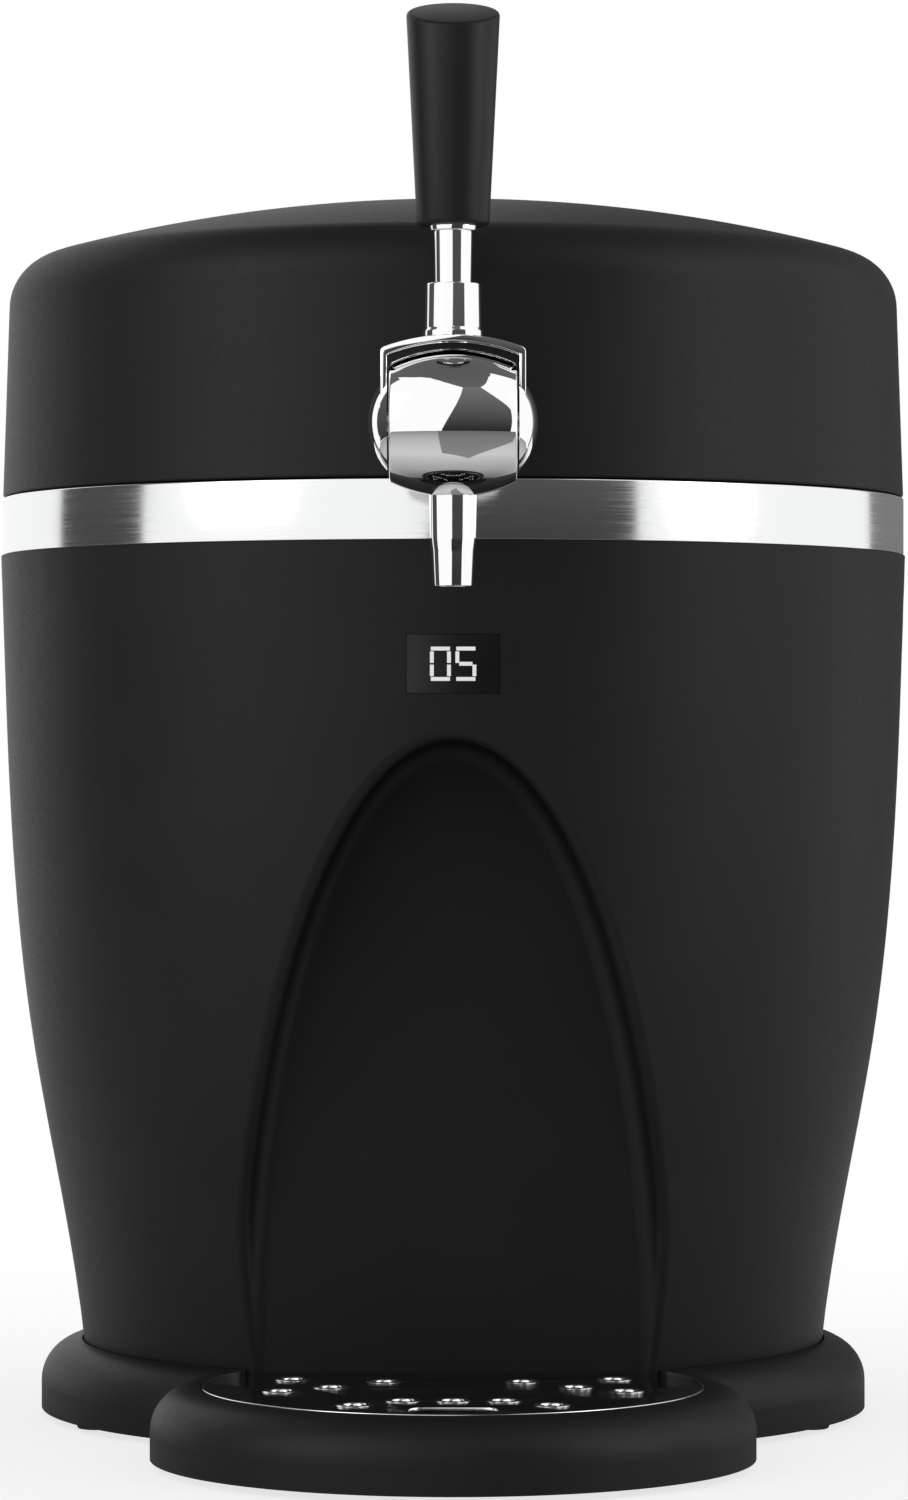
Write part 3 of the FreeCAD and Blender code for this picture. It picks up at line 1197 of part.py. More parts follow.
def beer_line():
    return s_bend(SHANK_TAIL_Y - SHANK_BARB_L, TAP_Z, -CONNECTOR_R, BEER_PORT_Z, HOSE_R, HOSE_BORE_R)


def make_beer_hose():
    return beer_line().cut(make_shank()).cut(make_connector())


def make_hose_clips():
    # a clip over each barb
    hose = beer_line()
    out_r = HOSE_R + CLIP_T
    near_y = SHANK_TAIL_Y - CLIP_SETBACK - CLIP_W
    far_y = -CONNECTOR_R - CLIP_SETBACK - 1 - CLIP_W
    clips = []
    for y, z in ((near_y, TAP_Z), (far_y, BEER_PORT_Z)):
        clip = cyl_y(out_r, y, y + CLIP_W, 0, z).cut(cyl_y(HOSE_R + 0.05, y - 1, y + CLIP_W + 1, 0, z))
        clips.append(clip.cut(hose))
    return Part.makeCompound(clips)


def make_regulator():
    body = block_without_corners(REGULATOR_X0, REGULATOR_X + REGULATOR_HALF_X, REGULATOR_Y0,
                                 REGULATOR_Y + REGULATOR_HALF_Y, REGULATOR_Z0, LINER_ROOF_Z, 3.0)
    stud = cyl(REGULATOR_STUD_R, REGULATOR_Z0 - REGULATOR_STUD_L, REGULATOR_Z0 + 1, REGULATOR_X, REGULATOR_Y)
    barb = cyl_x(GAS_BARB_R, REGULATOR_X0 - BARB_L, REGULATOR_X0 + 1, REGULATOR_Y, GAS_Z)
    return join([body, stud, barb])


def make_knob():
    foot_z = REGULATOR_Z0 - KNOB_H
    knob = cyl(KNOB_R, foot_z, REGULATOR_Z0 - CLEAR, REGULATOR_X, REGULATOR_Y)
    knob = knurled(knob, KNOB_R, 1.1, lambda r, u, v: cyl(r, foot_z - 1, REGULATOR_Z0,
                                                          REGULATOR_X + u, REGULATOR_Y + v))
    bore = cyl(REGULATOR_STUD_R + SPINDLE_PLAY, REGULATOR_Z0 - REGULATOR_STUD_L - CLEAR, REGULATOR_Z0,
               REGULATOR_X, REGULATOR_Y)
    return knob.cut(bore)


def make_cartridge_sleeve():
    out_r = CARTRIDGE_BORE_R + CARTRIDGE_SLEEVE_T
    tube = cyl_y(out_r, CARTRIDGE_SLEEVE_Y0, REGULATOR_Y0, REGULATOR_X, GAS_Z)
    bore = cyl_y(CARTRIDGE_BORE_R, -FAR, REGULATOR_Y0 - CARTRIDGE_END_T, REGULATOR_X, GAS_Z)
    # a rib that hangs the tube from the liner's roof
    rib = box(REGULATOR_X - CARTRIDGE_RIB_HALF, REGULATOR_X + CARTRIDGE_RIB_HALF,
              CARTRIDGE_SLEEVE_Y0 + CARTRIDGE_RIB_INSET, REGULATOR_Y0 - CARTRIDGE_RIB_INSET,
              GAS_Z + CARTRIDGE_BORE_R, LINER_ROOF_Z)
    return tube.fuse(rib).removeSplitter().cut(bore)


def make_cartridge_cap():
    out_r = CARTRIDGE_BORE_R + CARTRIDGE_SLEEVE_T + GAP
    end_y = CARTRIDGE_SLEEVE_Y0
    cap = cyl_y(out_r, end_y - CARTRIDGE_CAP_H, end_y, REGULATOR_X, GAS_Z)
    cap = knurled(cap, out_r, 1.0, lambda r, u, v: cyl_y(r, end_y - 2 * CARTRIDGE_CAP_H, end_y + 1,
                                                         REGULATOR_X + u, GAS_Z + v))
    plug = cyl_y(CARTRIDGE_BORE_R - SNAP_PLAY, end_y - 1, end_y + CARTRIDGE_PLUG_L, REGULATOR_X, GAS_Z)
    return cap.fuse(plug).removeSplitter()


def gas_line(r):
    # a straight run from the regulator's barb, then a quarter turn to the connector's barb
    bend = REGULATOR_Y - CONNECTOR_R
    disc = Part.Face(Part.Wire([Part.makeCircle(r, V(bend, REGULATOR_Y, GAS_Z), X_AXIS)]))
    turn = disc.revolve(V(bend, CONNECTOR_R, GAS_Z), Z_AXIS, 90)
    return join([cyl_x(r, bend, REGULATOR_X0, REGULATOR_Y, GAS_Z), turn])


def make_gas_hose():
    barb = GAS_BARB_R + GAS_BARB_PLAY
    far_barb = cyl_x(barb, REGULATOR_X0 - BARB_L - 1, REGULATOR_X0 + 1, REGULATOR_Y, GAS_Z)
    hose = gas_line(GAS_HOSE_R).cut(far_barb)
    return hose.cut(cyl_y(barb, 0, CONNECTOR_R + 7, 0, GAS_Z)).cut(cyl(CONNECTOR_R, 0, FAR))


# --- drip tray ------------------------------------------------------------------------------------
def tray_form(inset):
    disc = round_shouldered_disc(TRAY_R, TRAY_SHOULDER_Z, TRAY_ROUND, inset)
    disc.translate(V(0, TRAY_Y, 0))
    return disc.common(box(-FAR, FAR, -FAR, TRAY_BACK_Y - inset, -FAR, FAR))


def d_disc(r, z0, z1, back_y):
    return cyl(r, z0, z1, 0, TRAY_Y).common(box(-FAR, FAR, -FAR, back_y, -FAR, FAR))


def make_tray():
    tray = tray_form(0)
    tray = tray.cut(d_disc(GRID_R + GRID_PLAY, GRID_TOP_Z - GRID_T, FAR, FAR))
    return tray.cut(d_disc(GRID_R - GRID_LEDGE, BOWL_FLOOR_Z, FAR, TRAY_BACK_Y - WALL))


def drain_points():
    pts = [DRAIN_MIDDLE]
    for x, y in DRAIN_PAIRS:
        pts.append((x, y))
        pts.append((-x, y))
    return [(x, TRAY_Y + y) for x, y in pts]


def make_grid():
    plate = d_disc(GRID_R, GRID_TOP_Z - GRID_T, GRID_TOP_Z, TRAY_BACK_Y)
    for x, y in drain_points():
        plate = plate.cut(cyl(EYELET_R - EYELET_BRIM, 0, FAR, x, y))
        plate = plate.cut(cyl(EYELET_R, GRID_TOP_Z - EYELET_T, FAR, x, y))
    slot = box(-FINGER_SLOT_HALF, FINGER_SLOT_HALF,
               TRAY_Y - FINGER_SLOT_FAR, TRAY_Y - FINGER_SLOT_NEAR, 0, FAR)
    ends = [e for e in slot.Edges if abs(e.tangentAt(e.FirstParameter).z) > 0.99]
    return plate.cut(slot.makeFillet(FINGER_SLOT_ROUND, ends))


def make_eyelets():
    # pressed eyelets: a brim in the grid's face, a neck through the plate and a funnelled bore
    out = []
    neck_r = EYELET_R - EYELET_BRIM
    for x, y in drain_points():
        eye = cyl(EYELET_R, GRID_TOP_Z - EYELET_T, GRID_TOP_Z, x, y).fuse(
            cyl(neck_r, GRID_TOP_Z - GRID_T - 0.5, GRID_TOP_Z, x, y))
        cone = Part.makeCone(EYELET_BORE_R, neck_r + 0.1, 1.0, V(x, y, GRID_TOP_Z - 1.0), Z_AXIS)
        out.append(eye.cut(cyl(EYELET_BORE_R, 0, FAR, x, y)).cut(cone).removeSplitter())
    return Part.makeCompound(out)


def make_tray_feet():
    y = TRAY_Y + TRAY_FOOT_BACK
    return Part.makeCompound([cyl(TRAY_FOOT_R, TRAY_FOOT_LIFT - FOOT_DROP, 0, x, y)
                              for x in (-TRAY_FOOT_X, TRAY_FOOT_X)])


# --- everything, one file for each piece ----------------------------------------------------------
def main():
    os.makedirs("parts", exist_ok=True)
    low_leaf = hinge_leaf_low(HINGE_PIN_R)
    pieces = {
        "outer_casing": make_casing(),
        "trim_band": make_band(),
        "top_deck": make_top_deck(),
        "base_housing": make_base(),
        "bottom_cover": make_bottom_cover(),
        "rubber_feet": make_feet(),
        "cover_screws": make_cover_screws(),
        "keg_well": make_well(),
        "keg_pad": make_pad(),
        "insulation_sleeve": make_sleeve(),
        "cold_block": make_cold_block(),
        "peltier_module": make_peltier(),
        "heat_sink": make_heat_sink(),
        "fan_frame": make_fan_frame(),
        "fan_rotor": make_fan_rotor(),
        "fan_screws": make_fan_screws(),
        "sensor_probe": sensor_outline(),
        "rear_grille": make_grille(),
        "power_board": make_power_board(),
        "power_inlet": make_inlet(),
        "switch_bezel": make_switch_bezel(),
        "power_rocker": make_rocker(),
        "display_window": make_display_window(),
        "display_digits": make_digits(),
        "display_board": make_display_board(),
        "hinge_bracket": low_leaf,
        "hinge_screws": make_hinge_screws(),
        "hinge_pin": make_hinge_pin(),
        "lid_hinge_leaf": hinge_leaf_high(),
        "lid_shell": make_lid_shell(),
        "lid_foam": make_lid_foam(),
        "lid_liner": make_lid_liner(),
        "lid_gasket": make_lid_gasket(),
        "tap_body": make_tap_body(),
        "tap_spout": make_spout(),
        "tap_flange": make_flange(),
        "flange_gasket": make_flange_gasket(),
        "tap_shank": make_shank(),
        "shank_nut": make_shank_nut(),
        "lever_yoke": make_yoke(),
        "pivot_caps": make_caps(),
        "lever_spindle": make_spindle(),
        "valve_stem": make_stem(),
        "lever_collar": make_collar(),
        "lever_rod": make_rod(),
        "handle_ferrule": make_ferrule(),
        "tap_handle": make_handle(),
        "beer_hose": make_beer_hose(),
        "hose_clips": make_hose_clips(),
        "keg_connector": make_connector(),
        "connector_seal": make_connector_seal(),
        "gas_hose": make_gas_hose(),
        "regulator_body": make_regulator(),
        "pressure_knob": make_knob(),
        "cartridge_sleeve": make_cartridge_sleeve(),
        "cartridge_cap": make_cartridge_cap(),
        "drip_tray": make_tray(),
        "drip_grid": make_grid(),
        "grid_eyelets": make_eyelets(),
        "tray_feet": make_tray_feet(),
    }
    for name, shape in pieces.items():
        save(name, shape)
        bb = shape.BoundBox
        print(name, len(shape.Solids), shape.isValid(), round(shape.Volume / 1000, 2), "cm3",
              [round(v, 1) for v in (bb.XMin, bb.XMax, bb.YMin, bb.YMax, bb.ZMin, bb.ZMax)])
    print("pieces", len(pieces), "axis y", AXIS_Y)


main()
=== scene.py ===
import json
import math

import bmesh
import bpy
from mathutils import Matrix, Vector


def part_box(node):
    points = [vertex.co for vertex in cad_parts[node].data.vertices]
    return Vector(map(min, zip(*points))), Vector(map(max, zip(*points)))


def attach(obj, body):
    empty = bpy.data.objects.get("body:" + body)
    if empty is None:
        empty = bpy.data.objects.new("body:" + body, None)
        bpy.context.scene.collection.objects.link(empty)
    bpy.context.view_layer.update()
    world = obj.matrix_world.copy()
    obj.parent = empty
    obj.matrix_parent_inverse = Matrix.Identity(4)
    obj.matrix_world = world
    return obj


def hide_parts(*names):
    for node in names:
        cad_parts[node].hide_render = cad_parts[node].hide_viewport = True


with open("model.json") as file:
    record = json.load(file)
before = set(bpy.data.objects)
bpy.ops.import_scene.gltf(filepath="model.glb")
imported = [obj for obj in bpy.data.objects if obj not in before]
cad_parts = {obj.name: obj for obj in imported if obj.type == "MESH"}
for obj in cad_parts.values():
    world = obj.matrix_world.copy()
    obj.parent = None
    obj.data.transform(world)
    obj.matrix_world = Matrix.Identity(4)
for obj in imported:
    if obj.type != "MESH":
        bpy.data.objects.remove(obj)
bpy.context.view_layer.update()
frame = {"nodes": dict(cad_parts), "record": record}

# Looks of a mini keg beer dispenser: matt black ABS shells, a polished steel band, a chrome lever tap
# and a gloss black drip grid. Metres, +Z up, the front is -Y.

MM = 0.001
TURN_STEPS = 96
FACING_BACK = Matrix.Rotation(-math.pi / 2, 4, "X")

# --- places read from the construction ---
joints = {j["name"]: j for j in frame["record"]["behaviour"]["joints"]}
TAP = Vector(joints["lever_pull"]["pos_m"])
lid_low, lid_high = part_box("lid_shell")
band_low, band_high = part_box("trim_band")
grid_low, grid_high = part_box("drip_grid")
AXIS = Vector((0, (lid_low.y + lid_high.y) / 2, 0))
TRAY_R = 87.1 * MM
TRAY = Vector((0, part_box("drip_tray")[0].y + TRAY_R, 0))

# --- camera ---
CAMERA_DISTANCE = 1.722
CAMERA_HEIGHT = 0.2024
CAMERA_LENS = 132.5
HORIZON_SHIFT = 9.68 / 1500
FLOOR_R = 1.05


def srgb(code):
    """Linear RGBA of an sRGB hex colour."""
    parts = [int(code[i:i + 2], 16) / 255 for i in (1, 3, 5)]
    return [p / 12.92 if p <= 0.04045 else ((p + 0.055) / 1.055) ** 2.4 for p in parts] + [1.0]


def add(tree, kind, sockets=None, props=None):
    """Adds a node, links or sets its inputs and makes its settings."""
    node = tree.nodes.new(kind)
    for key, value in (props or {}).items():
        setattr(node, key, value)
    for key, value in (sockets or {}).items():
        if isinstance(value, bpy.types.NodeSocket):
            tree.links.new(value, node.inputs[key])
        else:
            node.inputs[key].default_value = value
    return node


# --- materials ---
def emptied_tree(owner):
    """The node tree of a material or of the world, with nothing in it."""
    owner.use_nodes = True
    owner.node_tree.nodes.clear()
    return owner.node_tree


def new_material(name, settings):
    """A material with one Principled shader; returns its tree, its shader and its Object coordinates."""
    material = bpy.data.materials.new(name)
    tree = emptied_tree(material)
    shader = add(tree, "ShaderNodeBsdfPrincipled", settings)
    add(tree, "ShaderNodeOutputMaterial", {"Surface": shader.outputs[0]})
    place = add(tree, "ShaderNodeTexCoord").outputs["Object"]
    return material, tree, shader, place


def grain(tree, place, size, stretch=(1, 1, 1), detail=3.0):
    """Noise whose features are `size` metres across, stretched along an axis where its scale is small."""
    spread = add(tree, "ShaderNodeMapping", {"Vector": place, "Scale": stretch}).outputs[0]
    return add(tree, "ShaderNodeTexNoise",
               {"Vector": spread, "Scale": 1 / size, "Detail": detail}).outputs["Fac"]


def vary(tree, shader, socket, pattern, low, high):
    """Lets a pattern move a number on the shader between two values."""
    out = add(tree, "ShaderNodeMapRange",
              {"Value": pattern, "From Min": 0.3, "From Max": 0.7, "To Min": low, "To Max": high})
    tree.links.new(out.outputs[0], shader.inputs[socket])


def tint(tree, shader, pattern, dark, light, span=(0.3, 0.7), socket="Base Color"):
    """Lets a pattern move a colour between two hex values, over a span of the pattern."""
    ramp = add(tree, "ShaderNodeValToRGB", {"Fac": pattern})
    for stop, place, code in zip(ramp.color_ramp.elements, span, (dark, light)):
        stop.position = place
        stop.color = srgb(code)
    tree.links.new(ramp.outputs[0], shader.inputs[socket])


def relief(tree, shader, pattern, height, strength=1.0):
    bump = add(tree, "ShaderNodeBump", {"Height": pattern, "Distance": height, "Strength": strength})
    tree.links.new(bump.outputs[0], shader.inputs["Normal"])


def moulded_abs(name, dark, light, rough_low, rough_high, grain_size=0.9 * MM, height=0.02 * MM, shine=0.2):
    # ABS from a spark-eroded mould: a dead, even surface that only lights up at grazing angles
    material, tree, shader, place = new_material(name, {"IOR": 1.5, "Specular IOR Level": shine})
    tint(tree, shader, grain(tree, place, 35 * MM, detail=2.0), dark, light)
    # the mould's grain is about 0.1 mm; it is drawn coarser so that it shows
    fine = grain(tree, place, grain_size)
    vary(tree, shader, "Roughness", fine, rough_low, rough_high)
    relief(tree, shader, fine, height)
    return material


def chrome_plate():
    # decorative chrome over polished brass: a mirror with the faint waviness of hand polishing
    material, tree, shader, place = new_material(
        "chrome_plated_brass", {"Metallic": 1.0, "Roughness": 0.03, "Base Color": srgb("#fcfcfd")})
    relief(tree, shader, grain(tree, place, 9 * MM, detail=1.0), 0.03 * MM, 0.35)
    return material


def polished_band_steel():
    # stainless strip, polished along its length: reflections stretch a little up and down
    material, tree, shader, place = new_material(
        "polished_stainless_strip", {"Metallic": 1.0, "Base Color": srgb("#f2f3f3")})
    lines = grain(tree, place, 40 * MM, stretch=(1, 1, 110), detail=2.0)
    vary(tree, shader, "Roughness", lines, 0.10, 0.17)
    relief(tree, shader, lines, 0.012 * MM, 0.5)
    return material


def gloss_black_acrylic(name, roughness, shine=0.4):
    # cast acrylic: a deep black with a hard shine, and wiped smears that dull it slightly
    material, tree, shader, place = new_material(
        name, {"Base Color": srgb("#060607"), "IOR": 1.49, "Coat Weight": shine, "Coat Roughness": 0.03})
    smears = grain(tree, place, 18 * MM, stretch=(1, 0.35, 1))
    vary(tree, shader, "Roughness", smears, roughness, roughness + 0.07)
    return material


def metal(name, dark, light, rough_low, rough_high, line_size, stretch):
    # bare metal that keeps its tool's or die's lines
    material, tree, shader, place = new_material(name, {"Metallic": 1.0})
    lines = grain(tree, place, line_size, stretch=stretch, detail=3.0)
    tint(tree, shader, lines, dark, light)
    vary(tree, shader, "Roughness", lines, rough_low, rough_high)
    relief(tree, shader, lines, 0.02 * MM, 0.5)
    return material


def black_rubber():
    # compression-moulded nitrile rubber: soft black, chalky where it is handled
    material, tree, shader, place = new_material("nitrile_rubber", {"IOR": 1.52})
    tint(tree, shader, grain(tree, place, 6 * MM), "#141414", "#202021")
    fine = grain(tree, place, 0.6 * MM)
    vary(tree, shader, "Roughness", fine, 0.68, 0.86)
    relief(tree, shader, fine, 0.03 * MM)
    return material


def expanded_foam():
    # expanded polystyrene: beads about 3 mm across pressed together
    material, tree, shader, place = new_material("expanded_polystyrene", {"Roughness": 0.85})
    bead = add(tree, "ShaderNodeTexVoronoi", {"Vector": place, "Scale": 1 / (3.2 * MM)})
    beads = bead.outputs["Distance"]
    # painted shade: the colour darkens from each bead's middle towards its edge, where the crevices between
    # beads fall in shade
    tint(tree, shader, beads, "#f0f0ec", "#c9c9c2", (0, 1))
    sunk = add(tree, "ShaderNodeMath", {0: 1.0, 1: beads}, {"operation": "SUBTRACT"}).outputs[0]
    relief(tree, shader, sunk, 0.25 * MM)
    return material


def solder_mask():
    # glass-fibre board under green solder mask, with copper tracks showing through as lighter lines
    material, tree, shader, place = new_material("green_solder_mask", {"Roughness": 0.32, "IOR": 1.5})
    tracks = add(tree, "ShaderNodeTexBrick", {
        "Vector": place, "Scale": 1 / (16 * MM), "Mortar Size": 0.02, "Color1": srgb("#0c3b20"),
        "Color2": srgb("#0f4425"), "Mortar": srgb("#2c7a46")}, {"offset": 0.5})
    tree.links.new(tracks.outputs["Color"], shader.inputs["Base Color"])
    relief(tree, shader, tracks.outputs["Fac"], 0.03 * MM)
    return material


def alumina():
    # sintered alumina plates: white, dry and slightly speckled
    material, tree, shader, place = new_material("sintered_alumina", {"Roughness": 0.6, "IOR": 1.76})
    tint(tree, shader, grain(tree, place, 0.8 * MM), "#dcdbd4", "#efeee9")
    return material


def silicone_tube():
    # food-grade silicone hose: milky, half clear
    material, tree, shader, place = new_material(
        "milky_silicone", {"Roughness": 0.28, "IOR": 1.41, "Transmission Weight": 0.45})
    tint(tree, shader, grain(tree, place, 12 * MM), "#d4d6d2", "#e6e8e4")
    return material


def lit_segment():
    # light-guide segments lit from behind by white diodes, a touch brighter at their middles
    material, tree, shader, place = new_material(
        "lit_white_segment", {"Roughness": 0.4, "Base Color": srgb("#4a4b4d"), "Emission Strength": 0.72})
    glow = grain(tree, place, 4 * MM, detail=1.0)
    tint(tree, shader, glow, "#eef1f5", "#ffffff", (0, 1), "Emission Color")
    return material


BODY_ABS = moulded_abs("matt_black_abs", "#141415", "#171718", 0.44, 0.54)
HANDLE_ABS = moulded_abs("satin_black_abs", "#18181a", "#1c1c1e", 0.36, 0.46, 0.7 * MM, 0.012 * MM)
INNER_ABS = moulded_abs("black_structural_abs", "#1b1b1c", "#232324", 0.5, 0.62)
LINER_ABS = moulded_abs("light_grey_abs", "#a6a9ad", "#b4b7ba", 0.42, 0.55)
KNOB_ABS = moulded_abs("slate_blue_abs", "#2f3a4a", "#38455a", 0.4, 0.5)
CHROME = chrome_plate()
BAND_STEEL = polished_band_steel()
EYELET_STEEL = metal("pressed_stainless", "#eceded", "#f6f6f6", 0.12, 0.2, 2 * MM, (1, 1, 1))
WINDOW_ACRYLIC = gloss_black_acrylic("smoked_window_acrylic", 0.26, 0.0)
GRID_ACRYLIC = gloss_black_acrylic("gloss_black_acrylic", 0.08)
TURNED_STEEL = metal("turned_stainless_steel", "#a9abad", "#c6c8ca", 0.2, 0.34, 3 * MM, (1, 12, 1))
ZINC_STEEL = metal("zinc_plated_steel", "#8f9296", "#b3b5b2", 0.3, 0.45, 1.5 * MM, (1, 1, 1))
DRAWN_ALUMINIUM = metal("deep_drawn_aluminium", "#b9bcbf", "#cfd1d3", 0.26, 0.4, 5 * MM, (14, 14, 1))
EXTRUDED_ALUMINIUM = metal("extruded_aluminium", "#a3a6a9", "#bfc1c3", 0.34, 0.5, 4 * MM, (10, 1, 1))
BRASS = metal("turned_brass", "#a27f45", "#c29c5c", 0.22, 0.36, 2 * MM, (1, 10, 1))
COATED_STEEL = moulded_abs("black_powder_coat", "#171718", "#1d1d1e", 0.42, 0.56, 0.5 * MM, 0.04 * MM)
RUBBER = black_rubber()
HOSE_RUBBER = moulded_abs("grey_gas_hose_rubber", "#3a3b3d", "#47484a", 0.6, 0.75)
FOAM = expanded_foam()
BOARD = solder_mask()
CERAMIC = alumina()
SILICONE = silicone_tube()
SEGMENT = lit_segment()

FINISH = {}
for finish, pieces in (
        (BODY_ABS, "outer_casing base_housing lid_shell drip_tray rear_grille"),
        (INNER_ABS, "switch_bezel power_inlet bottom_cover top_deck fan_frame fan_rotor"),
        (INNER_ABS, "cartridge_sleeve cartridge_cap"),
        (HANDLE_ABS, "tap_handle"), (LINER_ABS, "lid_liner"), (KNOB_ABS, "pressure_knob"),
        (CHROME, "tap_body tap_spout tap_flange lever_yoke pivot_caps lever_collar lever_rod handle_ferrule"),
        (BAND_STEEL, "trim_band"), (EYELET_STEEL, "grid_eyelets"),
        (TURNED_STEEL, "tap_shank shank_nut lever_spindle valve_stem hinge_pin keg_connector"),
        (ZINC_STEEL, "hose_clips cover_screws fan_screws hinge_screws"),
        (COATED_STEEL, "hinge_bracket lid_hinge_leaf"), (BRASS, "sensor_probe regulator_body"),
        (DRAWN_ALUMINIUM, "keg_well"), (EXTRUDED_ALUMINIUM, "cold_block heat_sink"),
        (FOAM, "insulation_sleeve lid_foam"), (SILICONE, "beer_hose"), (HOSE_RUBBER, "gas_hose"),
        (RUBBER, "rubber_feet tray_feet lid_gasket flange_gasket connector_seal keg_pad"),
        (WINDOW_ACRYLIC, "display_window"), (SEGMENT, "display_digits"),
        (GRID_ACRYLIC, "drip_grid power_rocker"),
        (BOARD, "power_board display_board"), (CERAMIC, "peltier_module")):
    FINISH.update(dict.fromkeys(pieces.split(), finish))


def dress_cad_nodes():
    for name, node in frame["nodes"].items():
        node.data.materials.clear()
        node.data.materials.append(FINISH[name])


# --- mesh making ---
def new_object(name, data):
    obj = bpy.data.objects.new(name, data)
    bpy.context.collection.objects.link(obj)
    return obj


def new_piece(name, mesh, material):
    mesh.materials.clear()
    mesh.materials.append(material)
    return new_object(name, mesh)


def smooth(mesh, degrees=35):
    mesh.shade_smooth()
    mesh.set_sharp_from_angle(angle=math.radians(degrees))


def bare_mesh(name, bm):
    mesh = bpy.data.meshes.new(name)
    bm.to_mesh(mesh)
    bm.free()
    return mesh


def mesh_of(name, bm):
    """A mesh whose doubles are merged and whose faces point outwards."""
    bmesh.ops.remove_doubles(bm, verts=bm.verts, dist=1e-7)
    bmesh.ops.recalc_face_normals(bm, faces=bm.faces)
    return bare_mesh(name, bm)


def with_round_corners(outline, steps=5):
    """An outline of (radius, height, corner radius) points, with an arc in place of each sharp corner."""
    out = []
    count = len(outline)
    for i, (r, h, corner) in enumerate(outline):
        here = Vector((r, h))
        before = Vector(outline[i - 1][:2]) - here
        after = Vector(outline[(i + 1) % count][:2]) - here
        if corner <= 0 or before.length < 1e-9 or after.length < 1e-9:
            out.append(here)
            continue
        half = before.angle(after) / 2
        cut = min(corner / math.tan(half), before.length * 0.49, after.length * 0.49)
        start = here + before.normalized() * cut
        end = here + after.normalized() * cut
        radius = cut * math.tan(half)
        centre = here + (before.normalized() + after.normalized()).normalized() * (radius / math.sin(half))
        for k in range(steps + 1):
            t = k / steps
            spoke = (start - centre).lerp(end - centre, t)
            out.append(centre + spoke.normalized() * radius)
    return out


def turned(name, outline, material, origin=Vector((0, 0, 0)), axis="Z", steps=TURN_STEPS, sweep=None):
    """A closed solid of revolution from an outline of (radius, height) points that runs right round it.

    Heights are along `axis` from `origin`. `sweep` is a (start, end) pair of angles for a part turn.
    """
    start, end = sweep or (0.0, 2 * math.pi)
    full = sweep is None
    rings = steps if full else steps + 1
    bm = bmesh.new()
    columns = []
    for k in range(rings):
        a = start + (end - start) * k / steps
        columns.append([bm.verts.new((p[0] * math.cos(a), p[0] * math.sin(a), p[1])) for p in outline])
    count = len(outline)
    for k in range(steps):
        left = columns[k]
        right = columns[(k + 1) % rings]
        for i in range(count):
            j = (i + 1) % count
            if outline[i][0] < 1e-9 and outline[j][0] < 1e-9:
                continue
            bm.faces.new((left[i], right[i], right[j], left[j]))
    if not full:
        bm.faces.new(columns[0])
        bm.faces.new(columns[-1])
    bmesh.ops.dissolve_degenerate(bm, edges=bm.edges, dist=1e-8)
    turn = {"Z": Matrix.Identity(4), "X": Matrix.Rotation(math.pi / 2, 4, "Y"),
            "Y": Matrix.Rotation(-math.pi / 2, 4, "X")}[axis]
    bmesh.ops.transform(bm, matrix=Matrix.Translation(origin) @ turn, verts=bm.verts)
    mesh = mesh_of(name, bm)
    smooth(mesh)
    return new_piece(name, mesh, material)


def prism(name, points, y0, y1, material, bevel):
    """A closed outline of (x, z) points extruded along Y, with rounded edges."""
    bm = bmesh.new()
    front = [bm.verts.new((x, y0, z)) for x, z in points]
    back = [bm.verts.new((x, y1, z)) for x, z in points]
    bm.faces.new(front)
    bm.faces.new(back[::-1])
    for i in range(len(points)):
        j = (i + 1) % len(points)
        bm.faces.new((front[i], back[i], back[j], front[j]))
    return rounded_edges(new_piece(name, mesh_of(name, bm), material), bevel)


def applied(obj, degrees=35):
    """Turns a piece with modifiers into a plain mesh."""
    graph = bpy.context.evaluated_depsgraph_get()
    mesh = bpy.data.meshes.new_from_object(obj.evaluated_get(graph), depsgraph=graph)
    obj.modifiers.clear()
    obj.data = mesh
    smooth(mesh, degrees)
    return obj


def rounded_edges(obj, width, segments=3):
    """Rounds a piece's sharp edges and turns it into a plain mesh."""
    cut = obj.modifiers.new("edge_rounding", "BEVEL")
    cut.width = width
    cut.segments = segments
    cut.limit_method = "ANGLE"
    cut.angle_limit = math.radians(50)
    return applied(obj)


def joined(name, objects):
    """Makes one piece of several; they keep their own solids."""
    bm = bmesh.new()
    for obj in objects:
        bm.from_mesh(obj.data)
    mesh = bare_mesh(name, bm)
    material = objects[0].data.materials[0]
    for obj in objects:
        bpy.data.objects.remove(obj)
    smooth(mesh)
    return new_piece(name, mesh, material)


def fit(piece, body, *nodes):
    """The piece stands for the CAD nodes and moves with their body."""
    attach(piece, body)
    if nodes:
        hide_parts(*nodes)


# --- pieces grown by rule ---
def geometry_tree(name, inputs):
    """A Geometry Nodes tree with named inputs and a material; returns it and the node that gives them."""
    tree = bpy.data.node_groups.new(name, "GeometryNodeTree")
    tree.interface.new_socket("Geometry", in_out="OUTPUT", socket_type="NodeSocketGeometry")
    tree.interface.new_socket("Geometry", in_out="INPUT", socket_type="NodeSocketGeometry")
    for label, kind, value in (*inputs, ("Material", "NodeSocketMaterial", None)):
        socket = tree.interface.new_socket(label, in_out="INPUT", socket_type=kind)
        if value is not None:
            socket.default_value = value
    return tree, add(tree, "NodeGroupInput")


def grown(name, base_mesh, tree, settings, material):
    """Runs a Geometry Nodes tree on a mesh and keeps the result as a plain mesh."""
    settings = {**settings, "Material": material}
    obj = new_piece(name, base_mesh, material)
    modifier = obj.modifiers.new("nodes", "NODES")
    modifier.node_group = tree
    for item in tree.interface.items_tree:
        if item.in_out == "INPUT" and item.name in settings:
            modifier[item.identifier] = settings[item.name]
    return applied(obj)


